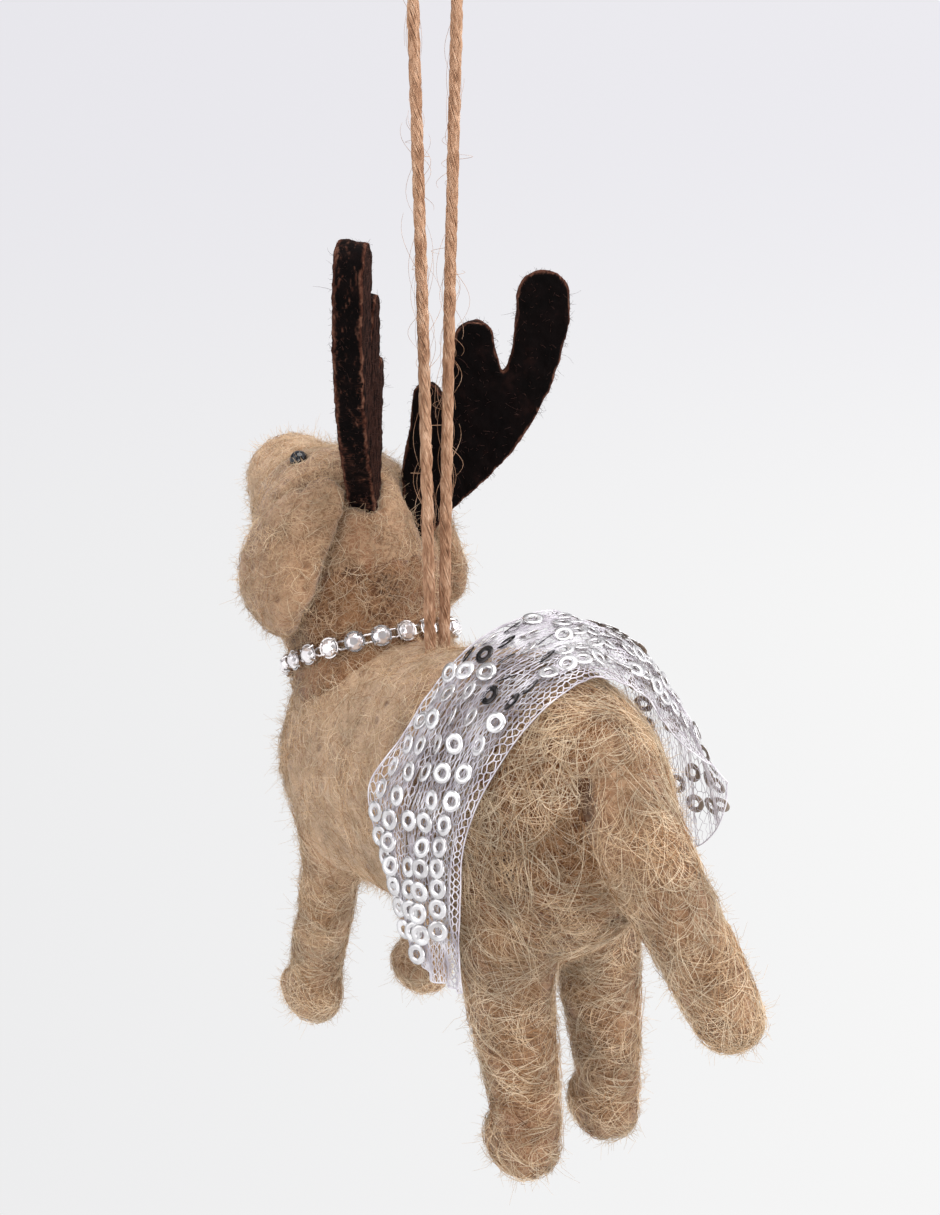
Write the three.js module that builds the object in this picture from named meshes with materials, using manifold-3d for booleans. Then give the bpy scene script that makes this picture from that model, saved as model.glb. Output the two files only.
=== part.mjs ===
// A needle-felted dog ornament: felt antlers, a stone-set collar, a sequin-net skirt and a twine loop.
// Millimetres, +Z up. The dog faces -Y and its left side is +X.
// The origin is the inside top of the twine loop, where a hook or a twig carries the ornament.

import * as THREE from "three";
import { mergeVertices } from "three/addons/utils/BufferGeometryUtils.js";
import Module from "manifold-3d";

const wasm = await Module();
wasm.setup();

// Clearances
const SEAM_GAP = 0.3;
const STONE_GAP = 0.1;
const CORD_GAP = 0.5;

// Twine loop. Heights on the dog are measured from its soles, and the loop hangs at x = y = 0.
const HOOK_HEIGHT = 159;
const TWINE_DIAMETER = 1.7;
const ARCH_RADIUS = 3.5;
const STRAND_SPREAD = 1.2;
const TWINE_SIDES = 8;
const ENTRY_DEPTH = 2.2;
const KNOT_DEPTH = 11;
const KNOT_RADIUS = 1.9;
const KNOT_TWINE = 1.2;

// Body
const TORSO_BACK = 43;
const TORSO_FRONT = -33.5;
const TORSO_MIDDLE = 47;
const TORSO_HALF_WIDTH = 15.5;
const TORSO_HALF_HEIGHT = 19.5;
const HIND_STANCE = 7.9;
const HIND_SIDE_STEP = -1.7;
const HIND_FOOT_BACK = 32;
const HIND_STRIDE = 3;
const FRONT_STANCE = 10.25;
const FRONT_FOOT_BACK = -27.3;
const FRONT_SIDE_STEP = -4.25;
const HIND_ANKLE = 4.2;
const FRONT_ANKLE = 3.7;
const RIGHT_LEG_SHARE = 0.96;
const PAW_LENGTH = 6;
const PAW_WIDTH = 4.1;
const PAW_HEIGHT = 4.2;
const PAW_HEEL = 0.6;
const HIND_HIP_LEAD = 5;
const HIND_HIP_DROP = 4;
const FRONT_HIP_LAG = 10.3;
const FRONT_HIP_INSET = 2.75;
const FRONT_HIP_DROP = 7;
const TAIL_RADIUS = 4.7;
const TAIL_ROOT_DEPTH = 8;
const TAIL_ROOT_RISE = 13;
const TAIL_REACH = 22;
const TAIL_DROP = 36;
const TAIL_ASIDE = 9;
const NECK_RADIUS = 12.9;
const NECK_RISE = 31;
const NECK_LEAN = 13;
const COLLAR_BITE = 1.2;

// Head, in its own frame with the skull's middle at the origin
const SKULL_HEIGHT = TORSO_MIDDLE + NECK_RISE;
const SKULL_BACK = -25;
const SKULL_SIDE = 1.2;
const SKULL_WIDE = 13.6;
const SKULL_LONG = 14;
const SKULL_TALL = 13.6;
const HEAD_TURN = THREE.MathUtils.degToRad(8);
const HEAD_LIFT = THREE.MathUtils.degToRad(26);
const MUZZLE_LENGTH = 20.7;
const MUZZLE_RADIUS = 6.9;
const MUZZLE_RISE = 2.2;
const NOSE_RADIUS = 2.7;
const EYE_RADIUS = 1.5;
const EYE_SHANK_RADIUS = 0.5;
const EYE_SHANK_LENGTH = 3.5;
const EAR_SHARE = 0.839;
const EAR_LENGTH = NECK_RISE * EAR_SHARE;
const EAR_HALF_WIDTH = 7.6;
const EAR_HALF_THICK = 2.7;

// Antlers
const ANTLER_HEIGHT = 35.6;
const ANTLER_THICK = 4.2;
const ANTLER_TAB_DEPTH = 5.6;
const ANTLER_TAB_WIDTH = 4.8;

// Collar
const STONE_RADIUS = 1.25;
const STONE_HEIGHT = 1.35;
const CUP_WALL = 0.22;
const CUP_FLOOR = 0.4;
const CUP_RIM = 1.05;
const PRONG_HEIGHT = 0.5;
const COLLAR_PITCH = 3.65;
const COLLAR_ROOM = 1.3;
const LINK_WIRE = 0.42;
const LINK_SPACING = 1.15;

// Skirt
const NET_THICK = 0.7;
const FOLD_COUNT = 3;
const FOLD_DEPTH = 0.8;

const X_AXIS = new THREE.Vector3(1, 0, 0);
const Y_AXIS = new THREE.Vector3(0, 1, 0);
const Z_AXIS = new THREE.Vector3(0, 0, 1);

// Solids

function welded(form) {
  const bare = form.clone();
  bare.deleteAttribute("normal");
  bare.deleteAttribute("uv");
  return mergeVertices(bare, 1e-4);
}

function solid(form) {
  const clean = welded(form);
  const vertProperties = new Float32Array(clean.getAttribute("position").array);
  const triVerts = new Uint32Array(clean.index.array);
  return new wasm.Manifold(new wasm.Mesh({ numProp: 3, vertProperties, triVerts }));
}

function formOf(body) {
  const { vertProperties, triVerts } = body.getMesh();
  const form = new THREE.BufferGeometry();
  form.setAttribute("position", new THREE.BufferAttribute(vertProperties, 3));
  form.setIndex(new THREE.BufferAttribute(triVerts, 1));
  return form;
}

function joined(first, ...others) {
  return formOf(others.reduce((body, other) => body.add(solid(other)), solid(first)));
}

function cut(form, ...tools) {
  return formOf(tools.reduce((body, tool) => body.subtract(solid(tool)), solid(form)));
}

function swollen(form, gap) {
  const grown = welded(form);
  grown.computeVertexNormals();
  const spots = grown.getAttribute("position");
  const normals = grown.getAttribute("normal");
  for (let i = 0; i < spots.count; i += 1) {
    const x = spots.getX(i) + gap * normals.getX(i);
    const y = spots.getY(i) + gap * normals.getY(i);
    const z = spots.getZ(i) + gap * normals.getZ(i);
    spots.setXYZ(i, x, y, z);
  }
  return grown;
}

function placed(form, matrix) {
  return form.clone().applyMatrix4(matrix);
}

function vectors(points) {
  return points.map((point) => new THREE.Vector3(...point));
}

// A felted limb is a ball drawn out along a curved spine. Its girth swells and tapers between the
// given half-widths, and a smaller bluntness gives it squarer ends.
function girthOf(limb, along) {
  const size = new THREE.CatmullRomCurve3(
    limb.girth.map(([wide, thick]) => new THREE.Vector3(wide, thick, 0)),
  ).getPoint(along);
  const ahead = limb.line.getTangent(along);
  const across = limb.side.clone().addScaledVector(ahead, -limb.side.dot(ahead)).normalize();
  const over = ahead.clone().cross(across);
  const fullness = Math.pow(Math.sqrt(1 - (1 - 2 * along) ** 2), limb.blunt);
  return { middle: limb.line.getPoint(along), ahead, across, over, size, fullness };
}

function limb(spine, girth, { blunt = 0.45, side = X_AXIS } = {}) {
  return { line: new THREE.CatmullRomCurve3(vectors(spine)), girth, blunt, side };
}

function limbForm(shape, sides = 16, rings = 12) {
  const form = new THREE.SphereGeometry(1, sides, rings);
  const spots = form.getAttribute("position");
  const spot = new THREE.Vector3();
  for (let i = 0; i < spots.count; i += 1) {
    spot.fromBufferAttribute(spots, i);
    const along = THREE.MathUtils.clamp((1 - spot.y) / 2, 0, 1);
    const turn = Math.atan2(spot.z, spot.x);
    const { middle, across, over, size, fullness } = girthOf(shape, along);
    middle.addScaledVector(across, size.x * fullness * Math.cos(turn));
    middle.addScaledVector(over, size.y * fullness * Math.sin(turn));
    spots.setXYZ(i, middle.x, middle.y, middle.z);
  }
  return welded(form);
}

function ellipsoid(wide, long, tall, sides = 16, rings = 12) {
  return welded(new THREE.SphereGeometry(1, sides, rings).rotateX(Math.PI / 2).scale(wide, long, tall));
}

function tube(points, diameter, steps) {
  const ring = new THREE.Shape();
  for (let i = 0; i < TWINE_SIDES; i += 1) {
    const angle = (2 * Math.PI * i) / TWINE_SIDES;
    const x = (diameter / 2) * Math.cos(angle);
    const y = (diameter / 2) * Math.sin(angle);
    if (i === 0) ring.moveTo(x, y);
    else ring.lineTo(x, y);
  }
  const extrudePath = new THREE.CatmullRomCurve3(vectors(points));
  return new THREE.ExtrudeGeometry(ring, { steps, extrudePath, bevelEnabled: false });
}

function mesh(name, form, material) {
  const made = new THREE.Mesh(form, material);
  made.name = name;
  return made;
}

function wool(color) {
  return new THREE.MeshStandardMaterial({ color, roughness: 1, metalness: 0 });
}

function silver() {
  return new THREE.MeshStandardMaterial({ color: 0xc8c6c4, roughness: 0.25, metalness: 1 });
}

const TAN = 0xb4946a;
const DARK_BROWN = 0x24120c;
const TWINE_BROWN = 0xb58a60;

const ornament = new THREE.Group();
const dog = new THREE.Group();
dog.position.z = -HOOK_HEIGHT;
ornament.add(dog);

// Torso: a blunt barrel, fuller at the rump and at the chest, with a dip behind the withers

// Each row: the share of the way from back to front, then the rise, width and height as shares
const torsoRows = [
  [0, 0.154, 1, 1],
  [0.2, 0.077, 1.065, 1.077],
  [0.4, 0, 0.968, 1],
  [0.6, -0.077, 0.935, 0.949],
  [0.8, -0.128, 0.968, 0.949],
  [1, -0.205, 0.871, 0.692],
];
const torso = limb(
  torsoRows.map(([along, rise]) => [
    0,
    THREE.MathUtils.lerp(TORSO_BACK, TORSO_FRONT, along),
    TORSO_MIDDLE + TORSO_HALF_HEIGHT * rise,
  ]),
  torsoRows.map(([, , wide, tall]) => [TORSO_HALF_WIDTH * wide, TORSO_HALF_HEIGHT * tall]),
  { blunt: 0.4 },
);
const torsoForm = limbForm(torso, 20, 18);
const torsoTool = swollen(torsoForm, SEAM_GAP);

// The height of the back at a place behind and beside the hanging line, from the torso's own section
function backHeight(back, aside = 0) {
  const along = THREE.MathUtils.clamp((TORSO_BACK - back) / (TORSO_BACK - TORSO_FRONT), 0, 1);
  const { middle, size, fullness } = girthOf(torso, along);
  const outwards = Math.min(1, Math.abs(aside) / Math.max(size.x * fullness, SEAM_GAP));
  return middle.z + size.y * fullness * Math.sqrt(1 - outwards ** 2);
}
const ENTRY_HEIGHT = backHeight(0) - ENTRY_DEPTH;
const KNOT_HEIGHT = ENTRY_HEIGHT - KNOT_DEPTH;

// Knot: the two twine ends tied in an overhand knot, and the two stubs that rise from it to the back

const knotLoop = new THREE.TorusKnotGeometry(KNOT_RADIUS, KNOT_TWINE / 2, 36, 6, 2, 3);
const stubTop = -CORD_GAP / 2;
const stubs = [1, -1].map((side) =>
  tube(
    [
      [side * STRAND_SPREAD, 0, stubTop],
      [side * STRAND_SPREAD, 0, -KNOT_DEPTH / 2],
      [side * KNOT_RADIUS * 0.8, 0, -KNOT_DEPTH],
    ],
    TWINE_DIAMETER,
    4,
  ),
);
knotLoop.translate(0, 0, -KNOT_DEPTH);
const knotForm = joined(knotLoop, ...stubs);

const knotHalf = KNOT_RADIUS * 1.5 + KNOT_TWINE / 2 + SEAM_GAP;
const shaftRadius = STRAND_SPREAD + TWINE_DIAMETER / 2 + SEAM_GAP;
const shaftLength = KNOT_DEPTH + ENTRY_DEPTH + TORSO_HALF_HEIGHT / 4;
const knotPocket = ellipsoid(knotHalf, knotHalf, knotHalf, 12, 8).translate(0, 0, KNOT_HEIGHT);
const twineShaft = new THREE.CylinderGeometry(shaftRadius, shaftRadius, shaftLength, 12)
  .rotateX(Math.PI / 2)
  .translate(0, 0, KNOT_HEIGHT + shaftLength / 2);

dog.add(mesh("torso", cut(torsoForm, joined(knotPocket, twineShaft)), wool(TAN)));
const knot = mesh("hanger_knot", knotForm, wool(TWINE_BROWN));
knot.position.z = ENTRY_HEIGHT;
dog.add(knot);

// Legs: a tapering column with a paw that reaches forward

const THIGH_SHARE = 1.6;
const SHOULDER_SHARE = 1.3;

function leg(name, hip, foot, girth, ankle, thigh) {
  const knee = foot.clone().lerp(hip, 0.55);
  const column = limbForm(
    limb(
      [hip.toArray(), knee.toArray(), [foot.x, foot.y, hip.z * 0.22], [foot.x, foot.y, 0]],
      [
        [thigh, thigh],
        [thigh * 0.82, thigh * 0.85],
        [ankle, ankle],
        [ankle * 1.07, ankle * 1.07],
      ],
      { blunt: 0.35 },
    ),
    14,
    12,
  );
  const pawLength = PAW_LENGTH * girth;
  const pawHeight = PAW_HEIGHT * girth;
  const paw = ellipsoid(PAW_WIDTH * girth, pawLength, pawHeight, 14, 10);
  paw.translate(foot.x, foot.y - pawLength + ankle + PAW_HEEL, pawHeight);
  dog.add(mesh(name, cut(joined(column, paw), torsoTool), wool(TAN)));
}

// The right legs are felted a little thinner, and the right hind foot stands a stride ahead of the left
for (const [name, side, girth, stride] of [
  ["left", 1, 1, 0],
  ["right", -1, RIGHT_LEG_SHARE, HIND_STRIDE],
]) {
  const hindHip = new THREE.Vector3(
    side * HIND_STANCE,
    HIND_FOOT_BACK - HIND_HIP_LEAD,
    TORSO_MIDDLE - HIND_HIP_DROP,
  );
  const hindFoot = new THREE.Vector3(side * HIND_STANCE + HIND_SIDE_STEP, HIND_FOOT_BACK - stride, 0);
  const hindAnkle = HIND_ANKLE * girth;
  leg(`leg_hind_${name}`, hindHip, hindFoot, girth, hindAnkle, hindAnkle * THIGH_SHARE);
  const frontHip = new THREE.Vector3(
    side * (FRONT_STANCE - FRONT_HIP_INSET),
    FRONT_FOOT_BACK + FRONT_HIP_LAG,
    TORSO_MIDDLE - FRONT_HIP_DROP,
  );
  const frontFoot = new THREE.Vector3(side * FRONT_STANCE + FRONT_SIDE_STEP, FRONT_FOOT_BACK, 0);
  const frontAnkle = FRONT_ANKLE * girth;
  leg(`leg_front_${name}`, frontHip, frontFoot, girth, frontAnkle, frontAnkle * SHOULDER_SHARE);
}

// Tail: long and straight, blunt at the tip

// Each row: how far aside, back and down its spine has come, then its girth, all as shares
const tailRows = [
  [0, 0, 0, 1.29],
  [0.055, 0.455, 0.25, 1.115],
  [0.444, 0.727, 0.597, 1],
  [1, 1, 1, 1.077],
];
const tailForm = limbForm(
  limb(
    tailRows.map(([aside, back, down]) => [
      -TAIL_ASIDE * aside,
      TORSO_BACK - TAIL_ROOT_DEPTH + TAIL_REACH * back,
      TORSO_MIDDLE + TAIL_ROOT_RISE - TAIL_DROP * down,
    ]),
    tailRows.map(([, , , girth]) => [TAIL_RADIUS * girth, TAIL_RADIUS * girth]),
    { blunt: 0.35 },
  ),
  14,
  12,
);
dog.add(mesh("tail", cut(tailForm, torsoTool), wool(TAN)));

// Head: the skull with its antlers' slits and eye sockets

const head = new THREE.Group();
head.position.set(SKULL_SIDE, SKULL_BACK, SKULL_HEIGHT);
head.rotation.set(-HEAD_LIFT, 0, HEAD_TURN, "ZXY");
head.updateMatrix();
dog.add(head);

const skullSize = new THREE.Vector3(SKULL_WIDE, SKULL_LONG, SKULL_TALL);
const skullForm = ellipsoid(...skullSize, 20, 14);
const skullTool = swollen(skullForm, SEAM_GAP);

function onSkull(x, y, z) {
  return new THREE.Vector3(x, y, z).normalize().multiply(skullSize);
}

// Antlers: three-tined branches die-cut from thick felt, each standing on a tab in a slit of the skull.
// The outline runs outwards along x and up along y from the foot of the antler, in shares of its height.
// The tab slants inwards, because the antler stands on the back of a round skull.

function antlerOutline() {
  const tabWide = ANTLER_TAB_WIDTH / ANTLER_HEIGHT;
  const tabDeep = ANTLER_TAB_DEPTH / ANTLER_HEIGHT;
  const outline = new THREE.Shape();
  outline.moveTo(-tabWide, -tabDeep / 2);
  outline.lineTo(-tabWide / 5, -tabDeep);
  outline.lineTo(0.107, 0);
  outline.bezierCurveTo(0.349, 0.201, 0.523, 0.389, 0.601, 0.752);
  outline.quadraticCurveTo(0.615, 0.819, 0.612, 0.894);
  outline.absarc(0.506, 0.894, 0.106, 0, Math.PI, false);
  outline.quadraticCurveTo(0.392, 0.698, 0.352, 0.588);
  outline.quadraticCurveTo(0.338, 0.574, 0.327, 0.596);
  outline.lineTo(0.298, 0.725);
  outline.absarc(0.22, 0.722, 0.078, 0, Math.PI, false);
  outline.quadraticCurveTo(0.113, 0.537, 0.086, 0.454);
  outline.absarc(0.025, 0.489, 0.058, 0, Math.PI, false);
  outline.quadraticCurveTo(-0.043, 0.3, -0.086, 0.18);
  outline.lineTo(-0.075, 0.054);
  return outline;
}

function antlerForm(gap) {
  const form = new THREE.ExtrudeGeometry(antlerOutline(), {
    depth: ANTLER_THICK,
    curveSegments: 8,
    bevelEnabled: gap > 0,
    bevelSize: gap / ANTLER_HEIGHT,
    bevelThickness: gap,
    bevelSegments: 1,
  });
  form.scale(ANTLER_HEIGHT, ANTLER_HEIGHT, 1);
  return form.translate(0, 0, -ANTLER_THICK / 2).rotateX(Math.PI / 2);
}

// Each antler: where it stands on the skull, its heading and its lean out of the upright, in degrees
const slits = [
  ["left", [0.27, 0.36, 0.893], 51.5, -3],
  ["right", [-0.44, 0.6, 0.668], 147, 0],
].map(([name, toward, heading, lean]) => {
  const antler = mesh(`antler_${name}`, antlerForm(0), wool(DARK_BROWN));
  antler.position.copy(onSkull(...toward).applyMatrix4(head.matrix));
  antler.rotation.set(THREE.MathUtils.degToRad(lean), 0, THREE.MathUtils.degToRad(heading), "ZYX");
  antler.updateMatrix();
  dog.add(antler);
  return placed(antlerForm(SEAM_GAP), antler.matrix);
});
const slitsInHead = slits.map((slit) => placed(slit, head.matrix.clone().invert()));

// Neck: a thick column between the torso and the skull

// Each row: how far aside, back and up its spine is, then its girth, all as shares
const neckRows = [
  [0, 1, -0.032, 1],
  [0.4, 0.508, 0.484, 1 - COLLAR_BITE / NECK_RADIUS],
  [0.8, 0.077, 0.935, 0.977],
  [1, -0.077, 1.129, 0.845],
];
const neck = limb(
  neckRows.map(([aside, back, up]) => [
    SKULL_SIDE * aside,
    SKULL_BACK + NECK_LEAN * back,
    TORSO_MIDDLE + NECK_RISE * up,
  ]),
  neckRows.map(([, , , girth]) => [NECK_RADIUS * girth, NECK_RADIUS * girth]),
  { blunt: 0.25 },
);
const neckForm = limbForm(neck, 20, 16);
dog.add(mesh("neck", cut(neckForm, torsoTool, placed(skullTool, head.matrix), ...slits), wool(TAN)));
const neckTool = swollen(neckForm, SEAM_GAP);

// Muzzle and nose

// Each row: how far forward and up its spine has come, then its half width and half height, as shares
const muzzleRows = [
  [0.2, 0, 1.36, 1.29],
  [0.5, 0.25, 1.174, 1.13],
  [0.8, 0.65, 1, 1],
  [1, 1, 1, 1],
];
const muzzleForm = limbForm(
  limb(
    muzzleRows.map(([ahead, up]) => [0, -MUZZLE_LENGTH * ahead, MUZZLE_RISE * up]),
    muzzleRows.map(([, , wide, tall]) => [MUZZLE_RADIUS * wide, MUZZLE_RADIUS * tall]),
    { blunt: 0.45 },
  ),
  16,
  12,
);
const noseForm = ellipsoid(NOSE_RADIUS, NOSE_RADIUS * 0.7, NOSE_RADIUS * 0.75, 12, 8);
noseForm.translate(0, -MUZZLE_LENGTH + NOSE_RADIUS * 0.15, MUZZLE_RISE - MUZZLE_RADIUS * 0.12);
head.add(mesh("nose", cut(noseForm, swollen(muzzleForm, SEAM_GAP)), wool(DARK_BROWN)));

// Ears: flat drops rooted high on the skull, hanging past the cheeks

for (const [name, side] of [
  ["left", 1],
  ["right", -1],
]) {
  const root = onSkull(side * 0.46, 0.16, 0.86);
  const cheek = onSkull(side * 0.96, 0.22, 0.17);
  const reach = SKULL_WIDE + EAR_HALF_THICK;
  const drop = EAR_LENGTH - SKULL_TALL;
  const earForm = limbForm(
    limb(
      [
        root.toArray(),
        cheek.toArray(),
        [side * reach * 0.926, SKULL_LONG * 0.43, -drop * 0.42],
        [side * reach * 0.853, SKULL_LONG * 0.66, -drop * 0.76],
      ],
      [
        [EAR_HALF_WIDTH * 0.7, EAR_HALF_THICK],
        [EAR_HALF_WIDTH, EAR_HALF_THICK * 1.15],
        [EAR_HALF_WIDTH * 1.05, EAR_HALF_THICK],
        [EAR_HALF_WIDTH * 0.7, EAR_HALF_THICK * 0.8],
      ],
      { blunt: 0.5, side: Y_AXIS },
    ),
    16,
    12,
  );
  const neckInHead = placed(neckTool, head.matrix.clone().invert());
  head.add(mesh(`ear_${name}`, cut(earForm, skullTool, neckInHead, ...slitsInHead), wool(TAN)));
}

// Eyes: glossy beads on a shank pushed into the wool

const sockets = [
  ["left", 1],
  ["right", -1],
].map(([name, side]) => {
  const seat = onSkull(side * 0.43, -0.58, 0.69);
  const bead = ellipsoid(EYE_RADIUS, EYE_RADIUS, EYE_RADIUS, 12, 8);
  const shank = new THREE.CylinderGeometry(EYE_SHANK_RADIUS, EYE_SHANK_RADIUS, EYE_SHANK_LENGTH, 8);
  shank.translate(0, -EYE_RADIUS * 0.6 - EYE_SHANK_LENGTH / 2, 0);
  const form = joined(bead, shank);
  const socket = joined(swollen(bead, SEAM_GAP), swollen(shank, SEAM_GAP));
  const eye = mesh(
    `eye_${name}`,
    form,
    new THREE.MeshStandardMaterial({ color: 0x0b0b10, roughness: 0.08, metalness: 0 }),
  );
  eye.position.copy(seat);
  eye.quaternion.setFromUnitVectors(Y_AXIS, seat.clone().normalize());
  eye.updateMatrix();
  head.add(eye);
  return placed(socket, eye.matrix);
});

head.add(mesh("muzzle", cut(muzzleForm, skullTool, ...sockets), wool(TAN)));
head.add(mesh("head", cut(skullForm, ...sockets, ...slitsInHead), wool(TAN)));

// Collar: stones in four-pronged cups, chained by twin wires round the neck

const cupRadius = (STONE_RADIUS + STONE_GAP) / Math.cos(Math.PI / 8) + CUP_WALL;

function neckRing(along) {
  const ring = girthOf(neck, along);
  const wide = ring.size.x * ring.fullness + 2 * SEAM_GAP;
  const tall = ring.size.y * ring.fullness + 2 * SEAM_GAP;
  const rooms = [];
  for (let turn = 0; turn < 2 * Math.PI; turn += Math.PI / 12) {
    const spot = ring.middle.clone();
    spot.addScaledVector(ring.across, (wide + CUP_RIM) * Math.cos(turn));
    spot.addScaledVector(ring.over, (tall + CUP_RIM) * Math.sin(turn));
    spot.addScaledVector(ring.ahead, -cupRadius);
    rooms.push(spot.z - backHeight(spot.y, spot.x));
  }
  return { ...ring, wide, tall, roomBelow: Math.min(...rooms) };
}

// The collar lies as low on the neck as its cups clear the back
let collarAlong = 0.25;
while (collarAlong < 0.6 && neckRing(collarAlong).roomBelow < COLLAR_ROOM) collarAlong += 0.005;
const ring = neckRing(collarAlong);
const ringLength = Math.PI * (ring.wide + ring.tall);
const stoneCount = Math.round(ringLength / COLLAR_PITCH);

const collar = new THREE.Group();
collar.position.copy(ring.middle);
collar.quaternion.setFromRotationMatrix(new THREE.Matrix4().makeBasis(ring.across, ring.over, ring.ahead));
dog.add(collar);

function cupForm() {
  const inner = cupRadius - CUP_WALL;
  const profile = [
    [0, 0],
    [cupRadius - CUP_WALL * 0.8, 0],
    [cupRadius, CUP_FLOOR],
    [cupRadius, CUP_RIM],
    [inner, CUP_RIM],
    [inner, CUP_FLOOR],
    [0, CUP_FLOOR],
  ].map(([x, y]) => new THREE.Vector2(x, y));
  const form = new THREE.LatheGeometry(profile, 8);
  const spots = form.getAttribute("position");
  for (let i = 0; i < spots.count; i += 1) {
    const turn = Math.atan2(spots.getX(i), spots.getZ(i));
    const onRim = spots.getY(i) > CUP_RIM - 0.01;
    if (onRim && Math.cos(4 * turn) > 0) spots.setY(i, CUP_RIM + PRONG_HEIGHT);
  }
  return welded(form);
}

function stoneForm() {
  const table = STONE_RADIUS * 0.56;
  const girdle = STONE_HEIGHT * 0.5;
  const profile = [
    [0, 0],
    [STONE_RADIUS, girdle],
    [STONE_RADIUS, girdle * 1.16],
    [table, STONE_HEIGHT],
    [0, STONE_HEIGHT],
  ].map(([x, y]) => new THREE.Vector2(x, y));
  return new THREE.LatheGeometry(profile, 8);
}

function collarPlace(index, lift) {
  const turn = (2 * Math.PI * index) / stoneCount;
  const outward = new THREE.Vector3(Math.cos(turn), Math.sin(turn), 0);
  const along = new THREE.Vector3(-Math.sin(turn), Math.cos(turn), 0);
  const place = new THREE.Matrix4().makeBasis(along, outward, Z_AXIS.clone().negate());
  const spot = new THREE.Vector3(ring.wide * Math.cos(turn), ring.tall * Math.sin(turn), 0);
  return place.setPosition(spot.addScaledVector(outward, lift));
}

const chainPieces = [];
const cup = cupForm();
for (let i = 0; i < stoneCount; i += 1) {
  chainPieces.push(placed(cup, collarPlace(i, 0)));
  for (const side of [1, -1]) {
    const wire = new THREE.BoxGeometry(COLLAR_PITCH - cupRadius, LINK_WIRE, LINK_WIRE);
    wire.translate(0, LINK_WIRE / 2 + STONE_GAP, (side * LINK_SPACING) / 2);
    chainPieces.push(placed(wire, collarPlace(i + 0.5, 0)));
  }
  const stone = mesh(
    `collar_stone_${String(i + 1).padStart(2, "0")}`,
    stoneForm(),
    new THREE.MeshStandardMaterial({ color: 0xf4f6fb, roughness: 0.03, metalness: 0 }),
  );
  stone.applyMatrix4(collarPlace(i, CUP_FLOOR + STONE_GAP));
  collar.add(stone);
}
collar.add(mesh("collar_chain", joined(...chainPieces), silver()));

// Skirt: a strip of sequin net laid over the rump. Each row runs from the left hem to the right hem.
// A point is a share of the torso's half width, a share of its reach behind the hanging line, and a drop
// from the top of the rump as a share of the torso's half height.

const RUMP_SHARE = 0.628;
const RUMP_TOP = backHeight(TORSO_BACK * RUMP_SHARE);

function skirtSpot(wide, back, drop) {
  return new THREE.Vector3(
    wide * TORSO_HALF_WIDTH,
    back * TORSO_BACK,
    RUMP_TOP - drop * TORSO_HALF_HEIGHT,
  );
}

const skirtRows = [
  [
    [1.05, 0.767, 2.015],
    [1.07, 0.756, 1.436],
    [1.02, 0.767, 0.923],
    [0.6, 0.814, 0.323],
    [0, 0.849, 0.01],
    [-0.55, 0.826, 0.185],
    [-0.93, 0.767, 0.462],
    [-1.36, 0.744, 0.769],
    [-1.8, 0.744, 1.026],
  ],
  [
    [1.17, 0.616, 1.949],
    [1.19, 0.57, 1.385],
    [1.1, 0.581, 0.769],
    [0.68, 0.64, 0.082],
    [0, 0.674, -0.164],
    [-0.6, 0.651, -0.123],
    [-1.04, 0.628, 0.082],
    [-1.55, 0.605, 0.667],
    [-1.84, 0.57, 1.59],
  ],
  [
    [1.085, 0.505, 1.718],
    [1.14, 0.363, 1.179],
    [1.04, 0.412, 0.564],
    [0.62, 0.477, -0.01],
    [-0.13, 0.523, -0.297],
    [-0.65, 0.488, -0.144],
    [-1.1, 0.465, 0.22],
    [-1.4, 0.419, 0.821],
    [-1.55, 0.349, 1.59],
  ],
].map(
  (row) =>
    new THREE.CatmullRomCurve3(
      row.map((spot) => skirtSpot(...spot)),
    ),
);

function skirtPoint(along, across) {
  const [rear, middle, front] = skirtRows.map((row) => row.getPoint(along));
  return new THREE.QuadraticBezierCurve3(
    rear,
    middle.multiplyScalar(2).addScaledVector(rear, -0.5).addScaledVector(front, -0.5),
    front,
  ).getPoint(across);
}

function skirtNormal(along, across) {
  const step = 0.01;
  const low = (value) => Math.max(0, value - step);
  const high = (value) => Math.min(1, value + step);
  const lengthwise = skirtPoint(high(along), across).sub(skirtPoint(low(along), across));
  const crosswise = skirtPoint(along, high(across)).sub(skirtPoint(along, low(across)));
  return lengthwise.cross(crosswise).normalize();
}

function skirtForm() {
  const form = new THREE.BoxGeometry(1, 1, 1, 44, 10, 1);
  const spots = form.getAttribute("position");
  for (let i = 0; i < spots.count; i += 1) {
    const along = spots.getX(i) + 0.5;
    const across = spots.getY(i) + 0.5;
    const looseness = Math.abs(2 * along - 1) ** 1.5;
    const fold = FOLD_DEPTH * looseness * Math.cos(2 * Math.PI * FOLD_COUNT * across);
    const lift = NET_THICK * (spots.getZ(i) + 0.5) + fold + FOLD_DEPTH * looseness;
    const spot = skirtPoint(along, across).addScaledVector(skirtNormal(along, across), lift);
    spots.setXYZ(i, spot.x, spot.y, spot.z);
  }
  return welded(form);
}
dog.add(
  mesh(
    "skirt",
    skirtForm(),
    new THREE.MeshStandardMaterial({ color: 0xd6d2dc, roughness: 0.5, metalness: 0.3 }),
  ),
);

// Twine loop: the bight over the hook, and two strands that draw together down to the dog's back

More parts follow.
